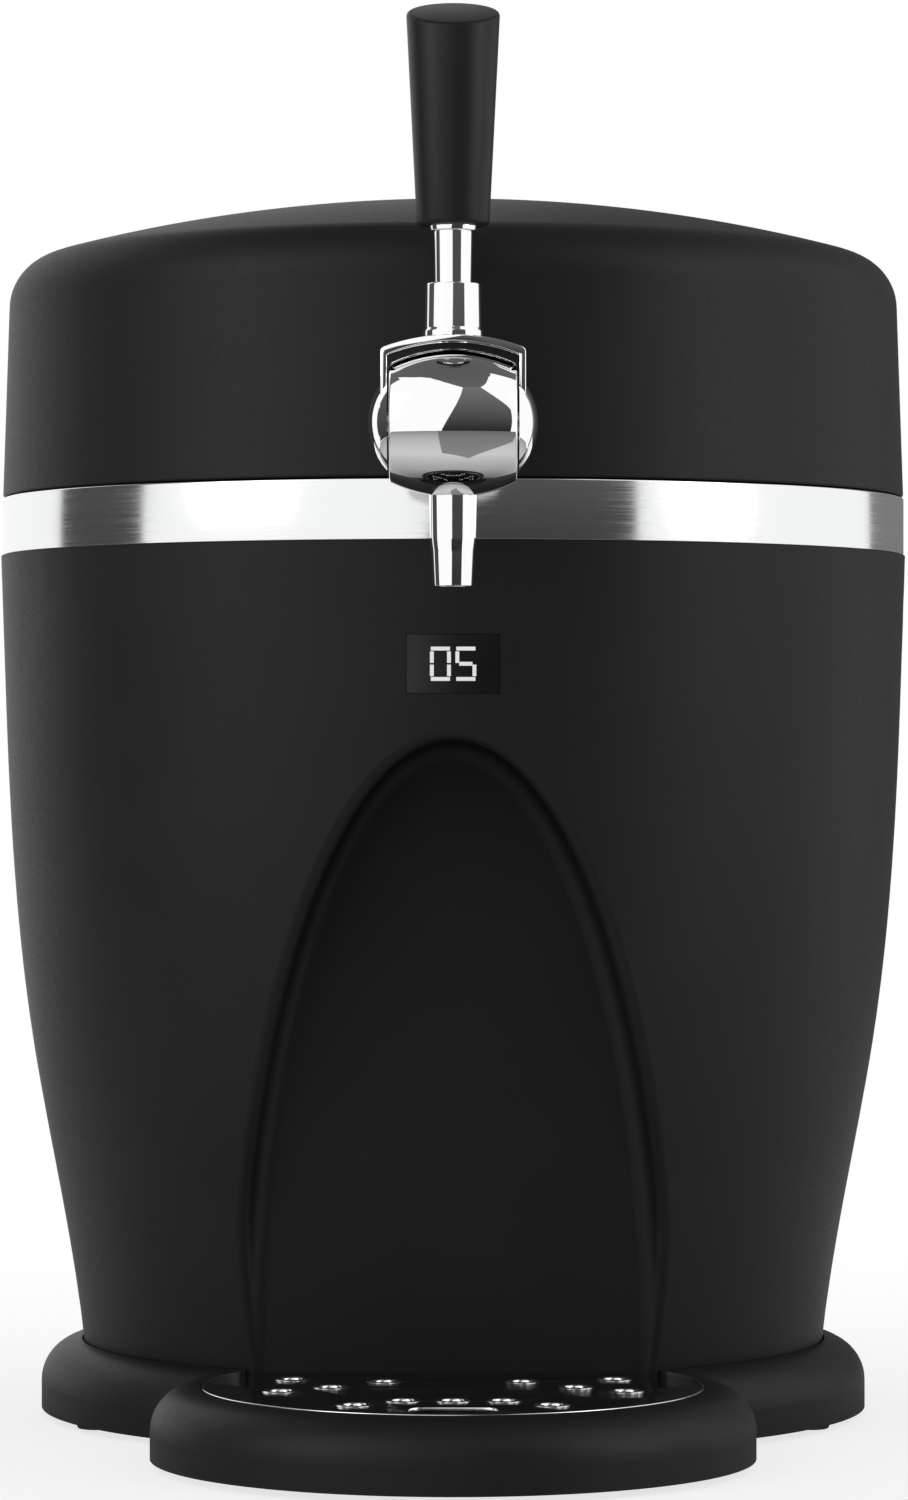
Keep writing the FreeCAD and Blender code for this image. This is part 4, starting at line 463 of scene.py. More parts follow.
def point_mesh(name, points, edges=()):
    mesh = bpy.data.meshes.new(name)
    mesh.from_pydata([tuple(p) for p in points], edges, [])
    return mesh


def close_tree(tree, geometry):
    whole = add(tree, "GeometryNodeRealizeInstances", {"Geometry": geometry})
    dressed = add(tree, "GeometryNodeSetMaterial", {"Geometry": whole.outputs[0]})
    tree.links.new(tree.nodes["Group Input"].outputs["Material"], dressed.inputs["Material"])
    add(tree, "NodeGroupOutput", {"Geometry": dressed.outputs[0]})


def moved(obj, matrix):
    """Puts a piece in place within its mesh, so that its object stays at the origin."""
    obj.data.transform(matrix)
    return obj


def closed_outwards(obj, degrees=35):
    """Merges a swept mesh's seams and turns its faces outwards."""
    bm = bmesh.new()
    bm.from_mesh(obj.data)
    bmesh.ops.remove_doubles(bm, verts=bm.verts, dist=1e-6)
    bmesh.ops.dissolve_degenerate(bm, edges=bm.edges, dist=1e-8)
    bmesh.ops.recalc_face_normals(bm, faces=bm.faces)
    bm.to_mesh(obj.data)
    bm.free()
    smooth(obj.data, degrees)
    return obj


def pattern_tree(name, inputs, spots, beside=True):
    """Puts a pattern piece on every spot, beside the mesh that the tree starts from."""
    tree, given = geometry_tree(name, (("Piece", "NodeSocketObject", None), *inputs))
    piece = add(tree, "GeometryNodeObjectInfo", {"Object": given.outputs["Piece"]})
    placed = add(tree, "GeometryNodeInstanceOnPoints",
                 {**spots(tree, given), "Instance": piece.outputs["Geometry"]})
    if beside:
        both = add(tree, "GeometryNodeJoinGeometry", {"Geometry": given.outputs["Geometry"]})
        tree.links.new(placed.outputs[0], both.inputs["Geometry"])
        placed = both
    close_tree(tree, placed.outputs[0])
    return tree


def on_points(tree, given):
    """Every point of the starting mesh, with the pattern's Z axis along one direction."""
    aim = given.outputs["Direction"]
    turn = add(tree, "FunctionNodeAlignRotationToVector", {"Vector": aim}, {"axis": "Z"})
    return {"Points": given.outputs["Geometry"], "Rotation": turn.outputs[0]}


def round_an_axis(tree, given):
    """A ring of spots round the Z axis, with the pattern's X axis outwards."""
    count = given.outputs["Count"]
    radius = given.outputs["Radius"]
    circle = add(tree, "GeometryNodeMeshCircle", {"Vertices": count, "Radius": radius})
    step = add(tree, "ShaderNodeMath", {0: 2 * math.pi, 1: count}, {"operation": "DIVIDE"})
    index = add(tree, "GeometryNodeInputIndex")
    angle = add(tree, "ShaderNodeMath", {0: index.outputs[0], 1: step.outputs[0]}, {"operation": "MULTIPLY"})
    spin = add(tree, "ShaderNodeCombineXYZ", {2: angle.outputs[0]})
    turn = add(tree, "FunctionNodeEulerToRotation", {0: spin.outputs[0]})
    return {"Points": circle.outputs[0], "Rotation": turn.outputs[0]}


def in_a_row(tree, given):
    """A row of spots along X from the origin."""
    step = add(tree, "ShaderNodeCombineXYZ", {0: given.outputs["Pitch"]})
    line = add(tree, "GeometryNodeMeshLine", {"Count": given.outputs["Count"], "Offset": step.outputs[0]})
    return {"Points": line.outputs[0]}


ALONG = pattern_tree("pieces_on_points", (
    ("Direction", "NodeSocketVector", (0.0, 0.0, 1.0)),), on_points, beside=False)
AROUND = pattern_tree("pieces_round_an_axis", (
    ("Count", "NodeSocketInt", 12), ("Radius", "NodeSocketFloat", 0.01)), round_an_axis)
ROW = pattern_tree("pieces_in_a_row", (
    ("Count", "NodeSocketInt", 13), ("Pitch", "NodeSocketFloat", 0.005)), in_a_row)


def repeated(name, start, tree, pattern, settings, material):
    """Grows a piece from a starting mesh and a pattern piece, and clears the pattern away."""
    piece = grown(name, start, tree, {**settings, "Piece": pattern}, material)
    bpy.data.objects.remove(pattern)
    return piece


def ringed(name, core, pattern, count, radius):
    """A core piece along Z with a ring of pattern pieces round it, in the core's material."""
    material = core.data.materials[0]
    whole = repeated(name, core.data.copy(), AROUND, pattern, {"Count": count, "Radius": radius}, material)
    bpy.data.objects.remove(core)
    return whole


# --- lid ---
LID_R0 = (lid_high.x - lid_low.x) / 2
LID_R1 = LID_R0 - 1.94 * MM
LID_SHOULDER = 16.56 * MM
DOME_R = 474 * MM
LID_WALL = 2.5 * MM


def lid_profile(inset, corner=0.0):
    """Half section of the lid from its rim up the wall, round the shoulder and over the dome."""
    dome_centre = lid_high.z - DOME_R
    arc_r = LID_SHOULDER - inset
    arc_x = LID_R1 - LID_SHOULDER
    arc_z = dome_centre + math.sqrt((DOME_R - LID_SHOULDER) ** 2 - arc_x ** 2)
    slope = math.atan2(arc_z - dome_centre, arc_x)
    points = [(LID_R0 - inset, lid_low.z + corner)]
    if corner:
        points.insert(0, (LID_R0 - inset - corner, lid_low.z))
    for k in range(13):
        a = slope * k / 12
        points.append((arc_x + arc_r * math.cos(a), arc_z + arc_r * math.sin(a)))
    radius = DOME_R - inset
    reach = math.pi / 2 - slope
    steps = 96
    for k in range(1, steps + 1):
        a = slope + reach * k / steps
        points.append((max(radius * math.cos(a), 0.0), dome_centre + radius * math.sin(a)))
    return points


def revolved_tree():
    """Sweeps an outline, drawn as (radius, 0, height), once round the Z axis."""
    tree, given = geometry_tree("revolved_outline", (
        ("Steps", "NodeSocketInt", 256), ("Path radius", "NodeSocketFloat", 0.1)))
    outline = add(tree, "GeometryNodeMeshToCurve", {"Mesh": given.outputs["Geometry"]})
    path = add(tree, "GeometryNodeCurvePrimitiveCircle",
               {"Resolution": given.outputs["Steps"], "Radius": given.outputs["Path radius"]})
    swept = add(tree, "GeometryNodeCurveToMesh",
                {"Curve": path.outputs[0], "Profile Curve": outline.outputs[0]})
    merged = add(tree, "GeometryNodeMergeByDistance", {"Geometry": swept.outputs[0], "Distance": 2e-6})
    close_tree(tree, merged.outputs[0])
    return tree


def make_lid():
    outline = lid_profile(0, corner=0.6 * MM) + lid_profile(LID_WALL)[::-1]
    ring = [(i, (i + 1) % len(outline)) for i in range(len(outline))]
    # the sweep puts an outline's x outwards from its path and its y downwards
    section = point_mesh("lid_section", [(r - LID_R0, -z, 0) for r, z in outline], ring)
    dome = grown("lid_dome", section, revolved_tree(), {"Steps": 256, "Path radius": LID_R0}, BODY_ABS)
    moved(dome, Matrix.Translation(AXIS))
    closed_outwards(dome)
    fit(dome, "lid", "lid_shell")


# --- trim band ---
def make_band():
    r = (band_high.x - band_low.x) / 2
    wall = 1.2 * MM
    hinge_gap = 27.0 * MM
    outline = with_round_corners([
        (r, band_low.z, 0.45 * MM), (r, band_high.z, 0.45 * MM),
        (r - wall, band_high.z, 0.3 * MM), (r - wall, band_low.z, 0.3 * MM)])
    open_half = math.asin(hinge_gap / r)
    back = math.pi / 2
    band = turned("steel_trim_band", outline, BAND_STEEL, AXIS, steps=240,
                  sweep=(back + open_half, back + 2 * math.pi - open_half))
    fit(band, "cabinet", "trim_band")


# --- tap ---
DRUM_HALF = 17.9 * MM
DRUM_R = 20.8 * MM
DRUM_END_R = 16.8 * MM
YOKE_IN = 18.5 * MM
YOKE_OUT = 20.35 * MM
CAP_R = 19.1 * MM
CAP_TIP = 24.0 * MM
SPOUT_BORE = 4.2 * MM
STEM_BORE = 4.1 * MM
NECK_R = 11 * MM
STRAP_HALF = 8.5 * MM
STRAP_SHOULDER = 3.8 * MM
SPINDLE_EYE = 4.0 * MM
HANDLE_H = 60 * MM
HANDLE_R = 10.2 * MM
# what the handle gains in radius over its height
HANDLE_FLARE = 3.0 / 60


def arc_between(a, b, bulge, steps):
    """Points on a circular arc from a to b that stands `bulge` above the middle of its chord."""
    a = Vector(a)
    b = Vector(b)
    half = (b - a).length / 2
    radius = (half * half + bulge * bulge) / (2 * bulge)
    along = (b - a).normalized()
    out = Vector((-along.y, along.x))
    centre = (a + b) / 2 - out * (radius - bulge)
    reach = math.asin(half / radius)
    points = []
    for k in range(steps + 1):
        t = -reach + 2 * reach * k / steps
        points.append(centre + out * (radius * math.cos(t)) + along * (radius * math.sin(t)))
    return points


def make_drum():
    # the drum is a barrel lying on its side; its ends are flat, with a small rolled edge
    side = arc_between((DRUM_END_R, DRUM_HALF), (DRUM_END_R, -DRUM_HALF), DRUM_R - DRUM_END_R, 32)
    edge = 0.9 * MM
    outline = [(STEM_BORE, DRUM_HALF, 0), (DRUM_END_R, DRUM_HALF, edge)]
    outline += [(p.x, p.y, 0) for p in side[2:-2]]
    outline += [(DRUM_END_R, -DRUM_HALF, edge), (STEM_BORE, -DRUM_HALF, 0)]
    drum = turned("drum", with_round_corners(outline, 6), CHROME, TAP, "X", 160)
    neck_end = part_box("tap_flange")[0].y - TAP.y
    start = 14 * MM
    flare = 2.0 * MM
    neck = turned("neck", with_round_corners([
        (0, start, 0), (NECK_R, start, 0), (NECK_R, neck_end - flare, 1.5 * MM),
        (NECK_R + flare, neck_end, 0.4 * MM), (0, neck_end, 0)]), CHROME, TAP, "Y")
    fit(joined("tap_drum", [drum, neck]), "lid", "tap_body")


def make_spout():
    # below its collar the tube narrows in two soft steps, to a rounded lip
    low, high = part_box("tap_spout")
    tip = low.z
    steps = [(r * MM, tip + h * MM, 6.0 * MM) for r, h in ((6.55, 13.0), (6.1, 9.6))]
    lip_r = 5.65 * MM
    lip_edge = 0.15 * MM
    outline = with_round_corners([
        ((high.x - low.x) / 2, high.z, 0), *steps, (lip_r, tip, lip_edge),
        (SPOUT_BORE + 0.2 * MM, tip, lip_edge), (SPOUT_BORE, tip + 2 * MM, 0), (SPOUT_BORE, high.z, 0)])
    spout = turned("spout_tube", outline, CHROME, Vector((0, (low.y + high.y) / 2, 0)))
    fit(spout, "lid", "tap_spout")


def make_flange():
    low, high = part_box("tap_flange")
    r = (high.z - low.z) / 2
    dish = 3 * MM
    edge = 1.2 * MM
    outline = with_round_corners([(0, low.y, 0), (r - dish, low.y, 1.0 * MM), (r, low.y + edge, 1.0 * MM),
                                  (r, high.y, 0.3 * MM), (0, high.y, 0)])
    flange = turned("wall_flange", outline, CHROME, Vector((0, 0, TAP.z)), "Y", 128)
    fit(flange, "lid", "tap_flange")


def make_yoke():
    # a flat strap bent over the drum, with a round eye over each end of it
    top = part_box("lever_yoke")[1].z
    foot = TAP.z
    wall = YOKE_OUT - YOKE_IN

    def arch(half, crown, corner):
        """The strap's edge from its right corner over the crown to its left corner."""
        spring = crown - STRAP_SHOULDER
        over = arc_between((-half, spring), (half, spring), crown - spring, 28)[::-1]
        return [(half, spring, corner)] + [(p.x, p.y, 0) for p in over[2:-2]] + [(-half, spring, corner)]

    points = [(YOKE_OUT, foot, 0)] + arch(YOKE_OUT, top, 1.6 * MM)
    points += [(-YOKE_OUT, foot, 0), (-YOKE_IN, foot, 0)]
    points += arch(YOKE_IN, top - wall, 0.5 * MM)[::-1] + [(YOKE_IN, foot, 0)]
    outline = [(p.x, p.y) for p in with_round_corners(points)]
    strap = prism("strap", outline, TAP.y - STRAP_HALF, TAP.y + STRAP_HALF, CHROME, 0.3 * MM)
    eyes = []
    centre = CAP_TIP - CAP_R
    for side in (-1, 1):
        rim = []
        for k in range(9):
            x = YOKE_IN + wall * k / 8
            rim.append((math.sqrt(CAP_R ** 2 - (x - centre) ** 2), side * x))
        ring = [(SPINDLE_EYE, side * YOKE_IN)] + rim + [(SPINDLE_EYE, side * YOKE_OUT)]
        eyes.append(turned("eye", ring, CHROME, TAP, "X"))
    fit(joined("lever_strap", [strap] + eyes), "lever", "lever_yoke")


def make_pivot_domes():
    centre = CAP_TIP - CAP_R
    domes = []
    for side in (-1, 1):
        rim = []
        for k in range(15):
            a = math.acos((YOKE_OUT - centre) / CAP_R) * (1 - k / 14)
            rim.append((CAP_R * math.sin(a), side * (centre + CAP_R * math.cos(a))))
        domes.append(turned("dome", [(0, side * YOKE_OUT)] + rim, CHROME, TAP, "X"))
    fit(joined("pivot_domes", domes), "lever", "pivot_caps")


def make_lever_stem():
    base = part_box("lever_yoke")[1].z
    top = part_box("lever_collar")[1].z
    handle_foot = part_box("tap_handle")[0].z
    centre = Vector((0, TAP.y, 0))
    foot_r, waist_r, top_r = (r * MM for r in (8.5, 8.0, 7.8))
    collar = turned("lever_socket", with_round_corners([
        (0, base - 1.0 * MM, 0), (foot_r, base - 1.0 * MM, 0.2 * MM), (foot_r, base + 1.3 * MM, 0.5 * MM),
        (waist_r, base + 2.2 * MM, 0.5 * MM), (top_r, top, 0.4 * MM), (0, top, 0)]), CHROME, centre)
    fit(collar, "lever", "lever_collar")
    rod_low_r, rod_high_r = (r * MM for r in (5.35, 5.55))
    rod = turned("lever_stalk", [(0, top), (rod_low_r, top), (rod_high_r, handle_foot), (0, handle_foot)],
                 CHROME, centre)
    fit(rod, "lever", "lever_rod")
    bore, ring_low_r, ring_high_r = (r * MM for r in (5.5, 6.6, 6.8))
    under = handle_foot - 1.6 * MM
    ferrule = turned("handle_ring", with_round_corners([
        (bore, under, 0.1 * MM), (ring_low_r, under, 0.5 * MM), (ring_high_r, handle_foot, 0.1 * MM),
        (bore, handle_foot, 0.1 * MM)]), CHROME, centre)
    fit(ferrule, "lever", "handle_ferrule")


def make_handle():
    # a cone that widens upwards and is cut off on a slant, its middle HANDLE_H above its foot
    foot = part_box("tap_handle")[0].z
    tall = 68 * MM
    high_r = HANDLE_R + HANDLE_FLARE * tall
    cone = turned("handle", with_round_corners([
        (0, foot, 0), (HANDLE_R, foot, 1.4 * MM), (high_r, foot + tall, 0), (0, foot + tall, 0)]),
        HANDLE_ABS, Vector((0, TAP.y, 0)), "Z", 128)
    bm = bmesh.new()
    bm.from_mesh(cone.data)
    slant = math.radians(19.3)
    normal = Vector((0, -math.sin(slant), math.cos(slant)))
    cut = bmesh.ops.bisect_plane(bm, geom=bm.verts[:] + bm.edges[:] + bm.faces[:], dist=1e-6,
                                 plane_co=(0, TAP.y, foot + HANDLE_H), plane_no=normal, clear_outer=True)
    rim = [e for e in cut["geom_cut"] if isinstance(e, bmesh.types.BMEdge)]
    bmesh.ops.contextual_create(bm, geom=rim)
    bmesh.ops.bevel(bm, geom=rim, offset=1.1 * MM, segments=4, profile=0.5, affect="EDGES")
    cone.data = mesh_of("slanted_handle", bm)
    cone.data.materials.append(HANDLE_ABS)
    smooth(cone.data, 40)
    fit(cone, "lever", "tap_handle")


# --- drip tray ---
# millimetres from the tray's centre; all but the first have a twin on the left
DRAINS = ((0.0, -33.6), (14.2, -33.6), (27.7, -43.9), (49.5, -10.0), (35.3, 0.0), (20.0, 14.0), (47.0, 20.0))


def drain_points():
    points = []
    for x, y in DRAINS:
        points += [(side * x * MM, TRAY.y + y * MM, grid_high.z) for side in ((1, -1) if x else (1,))]
    return points


def make_eyelets():
    # each eyelet is a low domed brim that turns down into its hole; radii and heights in millimetres
    outline = [(5.15, -0.7), (5.15, -0.05), (5.0, 0.16), (4.72, 0.32), (4.38, 0.40), (4.02, 0.36),
               (3.68, 0.16), (3.4, -0.3), (3.18, -1.1), (3.1, -2.4), (3.6, -2.4), (4.3, -1.0), (4.35, -0.7)]
    pattern = turned("eyelet", [(r * MM, z * MM) for r, z in outline], EYELET_STEEL, steps=40)
    holes = point_mesh("drain_holes", drain_points())
    eyelets = repeated("drain_eyelets", holes, ALONG, pattern, {"Direction": (0, 0, 1)}, EYELET_STEEL)
    fit(eyelets, "grid", "grid_eyelets")


def make_drip_grid():
    # the plate is black on its faces; its cut edges take the bright pressed steel finish as a painted
    # highlight, standing in for the light caught along its rounded edges
    bm = bmesh.new()
    bm.from_mesh(frame["nodes"]["drip_grid"].data)
    bmesh.ops.remove_doubles(bm, verts=bm.verts, dist=1e-6)
    bmesh.ops.dissolve_limit(bm, angle_limit=math.radians(0.5), verts=bm.verts, edges=bm.edges)
    name = "gloss_drip_grid"
    grid = rounded_edges(new_piece(name, bare_mesh(name, bm), GRID_ACRYLIC), 0.5 * MM)
    grid.data.materials.append(EYELET_STEEL)
    for face in grid.data.polygons:
        if abs(face.normal.z) < 0.95:
            face.material_index = 1
    fit(grid, "grid", "drip_grid")


def make_grid_rim():
    # painted highlight: a thin steel wire round the plate's edge, a hair proud of the tray, stands in for the
    # highlight along the grid's rounded rim, and stops at its flat back
    r = (grid_high.x - grid_low.x) / 2
    inner = r - 0.8 * MM
    foot, top, corner = (h * MM for h in (-0.3, 0.68, 0.3))
    centre = Vector((0, grid_low.y + r, grid_high.z))
    back = math.asin((grid_high.y - centre.y) / r)
    outline = with_round_corners([(inner, foot, 0), (r, foot, 0), (r, top, corner), (inner, top, corner)])
    rim = turned("grid_rim_wire", outline, EYELET_STEEL, centre, "Z", 160,
                 sweep=(math.pi - back, 2 * math.pi + back))
    fit(rim, "grid")


# --- screws ---
def make_screw(head_r, head_t, shaft_r, length):
    """A screw along -Z with its head's face at the origin and a six-sided socket in it."""
    socket = head_r * 0.52
    depth = min(0.75 * MM, head_t * 0.7)
    # each ring's radius, its height and its number of sides, none for a round one
    rings = [(socket, -depth, 6), (socket, -0.06 * MM, 6), (head_r * 0.68, 0, 0),
             (head_r * 0.93, -0.12 * MM, 0), (head_r, -0.35 * MM, 0), (head_r, -head_t, 0),
             (shaft_r, -head_t, 0), (shaft_r, -head_t - length, 0)]
    steps = 24
    bm = bmesh.new()
    loops = []
    for r, z, sides in rings:
        loop = []
        for k in range(steps):
            a = 2 * math.pi * k / steps
            flat = math.pi / sides if sides else 0
            reach = r * math.cos(flat) / math.cos((a % (2 * flat)) - flat) if sides else r
            loop.append(bm.verts.new((reach * math.cos(a), reach * math.sin(a), z)))
        loops.append(loop)
    for upper, lower in zip(loops, loops[1:]):
        for k in range(steps):
            j = (k + 1) % steps
            bm.faces.new((upper[k], lower[k], lower[j], upper[j]))
    bm.faces.new(loops[0])
    bm.faces.new(loops[-1])
    mesh = mesh_of("screw", bm)
    smooth(mesh, 30)
    return new_piece("screw", mesh, ZINC_STEEL)


def make_screws():
    shaft_r = 1.5 * MM
    head_r = 2.8 * MM
    head_t = 1.2 * MM
    for node, out in (("cover_screws", (0, 0, -1)), ("fan_screws", (0, 1, 0)), ("hinge_screws", (0, 1, 0))):
        low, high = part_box(node)
        xs = (low.x + head_r, high.x - head_r)
        if out[1]:
            spots = [(x, high.y, z) for x in xs for z in (low.z + head_r, high.z - head_r)]
            length = high.y - low.y - head_t
        else:
            spots = [(x, y, low.z) for x in xs for y in (low.y + head_r, high.y - head_r)]
            length = high.z - low.z - head_t
        if node == "hinge_screws":
            # these two stand side by side, so their upper and lower spots are one
            spots = spots[::2]
        screws = repeated(node + "_zinc", point_mesh(node, spots), ALONG,
                          make_screw(head_r, head_t, shaft_r, length), {"Direction": out}, ZINC_STEEL)
        fit(screws, "cabinet", node)


# --- fan, heat sink and grille ---
def make_blade(root, tip, depth):
    """One fan blade along +X, twisted from its root to its tip and bowed across its chord."""
    rows = 8
    across = 7
    thick = 0.9 * MM
    bend = 0.9 * MM
    root_pitch, twist = 40, 18
    root_chord, belly = 9.0, 4.5
    bm = bmesh.new()
    sides = []
    for face in (0.5, -0.5):
        grid = []
        for i in range(rows + 1):
            t = i / rows
            r = root + (tip - root) * t
            pitch = math.radians(root_pitch - twist * t)
            chord = (root_chord + belly * math.sin(math.pi * t * 0.8)) * MM
            line = []
            for j in range(across + 1):
                u = j / across - 0.5
                bow = bend * (1 - 4 * u * u)
                edge = thick * face * (0.35 + 0.65 * math.cos(math.pi * u))
                y = u * chord * math.cos(pitch) - (bow + edge) * math.sin(pitch)
                z = u * chord * math.sin(pitch) + (bow + edge) * math.cos(pitch)
                x = math.sqrt(max(r * r - y * y, 0))
                line.append(bm.verts.new((x, y, max(min(z, depth / 2), -depth / 2))))
            grid.append(line)
        sides.append(grid)
    front, back = sides
    for i in range(rows):
        for j in range(across):
            bm.faces.new((front[i][j], front[i + 1][j], front[i + 1][j + 1], front[i][j + 1]))
            bm.faces.new((back[i][j], back[i][j + 1], back[i + 1][j + 1], back[i + 1][j]))
    rim = [(i, 0) for i in range(rows)] + [(rows, j) for j in range(across)]
    rim += [(i, across) for i in range(rows, 0, -1)] + [(0, j) for j in range(across, 0, -1)]
    for k, (i, j) in enumerate(rim):
        m, n = rim[(k + 1) % len(rim)]
        bm.faces.new((front[i][j], back[i][j], back[m][n], front[m][n]))
    mesh = mesh_of("fan_blade", bm)
    smooth(mesh, 50)
    return new_piece("fan_blade", mesh, INNER_ABS)


def make_fan():
    low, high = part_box("fan_rotor")
    spin = Vector(joints["fan_spin"]["pos_m"])
    depth = high.y - low.y
    half = depth / 2
    hub_r = 12.0 * MM
    blade_tip = 26.8 * MM
    shaft = 1.56 * MM
    inside = half - 1.2 * MM
    hub = turned("fan_hub", with_round_corners([
        (shaft, -half, 0), (hub_r, -half, 0.3 * MM), (hub_r, half, 1.0 * MM), (0, half, 0),
        (0, inside, 0), (shaft, inside, 0)]), INNER_ABS, steps=64)
    blade = make_blade(hub_r - 1 * MM, blade_tip, depth - 0.4 * MM)
    blades = ringed("fan_wheel", hub, blade, 7, 0.0)
    moved(blades, Matrix.Translation(Vector((spin.x, (low.y + high.y) / 2, spin.z))) @ FACING_BACK)
    fit(blades, "fan", "fan_rotor")


def box_mesh(name, low, high):
    bm = bmesh.new()
    bmesh.ops.create_cube(bm, size=1.0)
    for v in bm.verts:
        v.co = Vector([low[i] if v.co[i] < 0 else high[i] for i in range(3)])
    return mesh_of(name, bm)


def make_heat_sink():
    low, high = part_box("heat_sink")
    wide, deep, tall = (high[i] - low[i] for i in range(3))
    fin_t = 1.5 * MM
    count = 13
    pitch = (wide - fin_t) / (count - 1)
    plate = box_mesh("sink_plate", (0, 0, 0), (wide, 3.0 * MM, tall))
    fin = new_piece("fin", box_mesh("fin", (0, 2.0 * MM, 0), (fin_t, deep, tall)), EXTRUDED_ALUMINIUM)
    sink = repeated("finned_heat_sink", plate, ROW, rounded_edges(fin, 0.35 * MM, 2),
                    {"Count": count, "Pitch": pitch}, EXTRUDED_ALUMINIUM)
    fit(moved(sink, Matrix.Translation(low)), "cabinet", "heat_sink")


def barrel_radius(height):
    """The barrel's radius at a height, read off the nearest points of the casing's back."""
    spots = [v.co for v in frame["nodes"]["outer_casing"].data.vertices]
    near = sorted((abs(co.z - height), (co - AXIS).to_2d().length) for co in spots if co.y > AXIS.y)
    return max(r for _, r in near[:40])


def slat_tree():
    """Sweeps a round bar along an arc at every point, with the arc's radius kept on the point."""
    tree, given = geometry_tree("louvre_slats", (
        ("Half angle", "NodeSocketFloat", 0.25), ("Slat radius", "NodeSocketFloat", 1.4 * MM)))
    half = given.outputs["Half angle"]
    back = add(tree, "ShaderNodeMath", {0: math.pi / 2, 1: half}, {"operation": "SUBTRACT"})
    sweep = add(tree, "ShaderNodeMath", {0: 2.0, 1: half}, {"operation": "MULTIPLY"})
    arc = add(tree, "GeometryNodeCurveArc", {
        "Resolution": 40, "Radius": 1.0, "Start Angle": back.outputs[0], "Sweep Angle": sweep.outputs[0]},
        {"mode": "RADIUS"})
    radius = add(tree, "GeometryNodeInputNamedAttribute", {"Name": "arc_radius"}, {"data_type": "FLOAT"})
    size = add(tree, "ShaderNodeCombineXYZ", {0: radius.outputs[0], 1: radius.outputs[0], 2: 1.0})
    arcs = add(tree, "GeometryNodeInstanceOnPoints", {
        "Points": given.outputs["Geometry"], "Instance": arc.outputs[0], "Scale": size.outputs[0]})
    real = add(tree, "GeometryNodeRealizeInstances", {"Geometry": arcs.outputs[0]})
    even = add(tree, "GeometryNodeSetCurveRadius", {"Curve": real.outputs[0], "Radius": 1.0})
    bar = add(tree, "GeometryNodeCurvePrimitiveCircle",
              {"Resolution": 12, "Radius": given.outputs["Slat radius"]})
    swept = add(tree, "GeometryNodeCurveToMesh",
                {"Curve": even.outputs[0], "Profile Curve": bar.outputs[0], "Fill Caps": True})
    close_tree(tree, swept.outputs[0])
    return tree


def make_grille():
    low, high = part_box("rear_grille")
    lap = 4.0 * MM
    margin = 4.0 * MM
    slots = 11
    z0 = low.z + lap + margin
    z1 = high.z - lap - margin
    pitch = (z1 - z0) / slots
    heights = [z0 + i * pitch for i in range(1, slots)]
    slat_r = 1.35 * MM
    # half the opening's width and the barrel's radius there, in millimetres
    half_width, back_r = 31.0, 136.0
    base = point_mesh("slat_heights", [(AXIS.x, AXIS.y, z) for z in heights])
    radii = base.attributes.new("arc_radius", "FLOAT", "POINT")
    for i, z in enumerate(heights):
        radii.data[i].value = barrel_radius(z) - slat_r
    slats = grown("grille_slats", base, slat_tree(), {
        "Half angle": math.asin(half_width / back_r), "Slat radius": slat_r}, BODY_ABS)
    closed_outwards(slats, 50)
    panel = new_object("grille_panel", frame["nodes"]["rear_grille"].data.copy())
    grille = joined("louvred_grille", [panel, slats])
    fit(grille, "cabinet", "rear_grille")


# --- ribbed knob and cap ---
RIB_STAND = 0.55 * MM


def make_rib(name, radius, z0, z1, material):
    """A round rib along Z, sunk by half into the piece that it stands on."""
    corner = radius * 0.8
    outline = with_round_corners([(0, z0, 0), (radius, z0, corner), (radius, z1, corner), (0, z1, 0)])
    return turned(name, outline, material, steps=10)


def make_knob():
    low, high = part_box("pressure_knob")
    r = 11.0 * MM - RIB_STAND
    tall = high.z - low.z
    dish = 0.9 * MM
    bore_r = 3.1 * MM
    bore_end = tall - 4.4 * MM
    body = turned("knob", with_round_corners([
        (0, dish, 0), (r * 0.62, dish, 0.4 * MM), (r * 0.7, 0, 0.4 * MM), (r, 0, 1.2 * MM),
        (r, tall, 0.4 * MM), (bore_r, tall, 0), (bore_r, bore_end, 0), (0, bore_end, 0)]), KNOB_ABS)
    rib = make_rib("knob_rib", 0.85 * MM, 1.3 * MM, tall - 0.6 * MM, KNOB_ABS)
    knob = ringed("ribbed_pressure_knob", body, rib, 30, r - 0.3 * MM)
    moved(knob, Matrix.Translation(Vector(((low.x + high.x) / 2, (low.y + high.y) / 2, low.z))))
    fit(knob, "knob", "pressure_knob")


def make_cartridge_cap():
    low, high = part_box("cartridge_cap")
    r = (high.x - low.x) / 2 - RIB_STAND
    cap_t = 9.0 * MM
    dish = 1.0 * MM
    plug_r = 11.2 * MM
    total = high.y - low.y
    body = turned("cap", with_round_corners([
        (0, dish, 0), (r * 0.55, dish, 0.5 * MM), (r * 0.62, 0, 0.5 * MM), (r, 0, 1.2 * MM),
        (r, cap_t, 0.4 * MM), (plug_r, cap_t, 0), (plug_r, total, 0.6 * MM), (0, total, 0)]), INNER_ABS)
    rib = make_rib("cap_rib", 0.9 * MM, 1.4 * MM, cap_t - 0.8 * MM, INNER_ABS)
    cap = ringed("ribbed_cartridge_cap", body, rib, 36, r - 0.35 * MM)
    moved(cap, Matrix.Translation(Vector(((low.x + high.x) / 2, low.y, (low.z + high.z) / 2))) @ FACING_BACK)
    fit(cap, "lid", "cartridge_cap")


# --- stage, light and camera ---
CARD_DISTANCE = 2.4


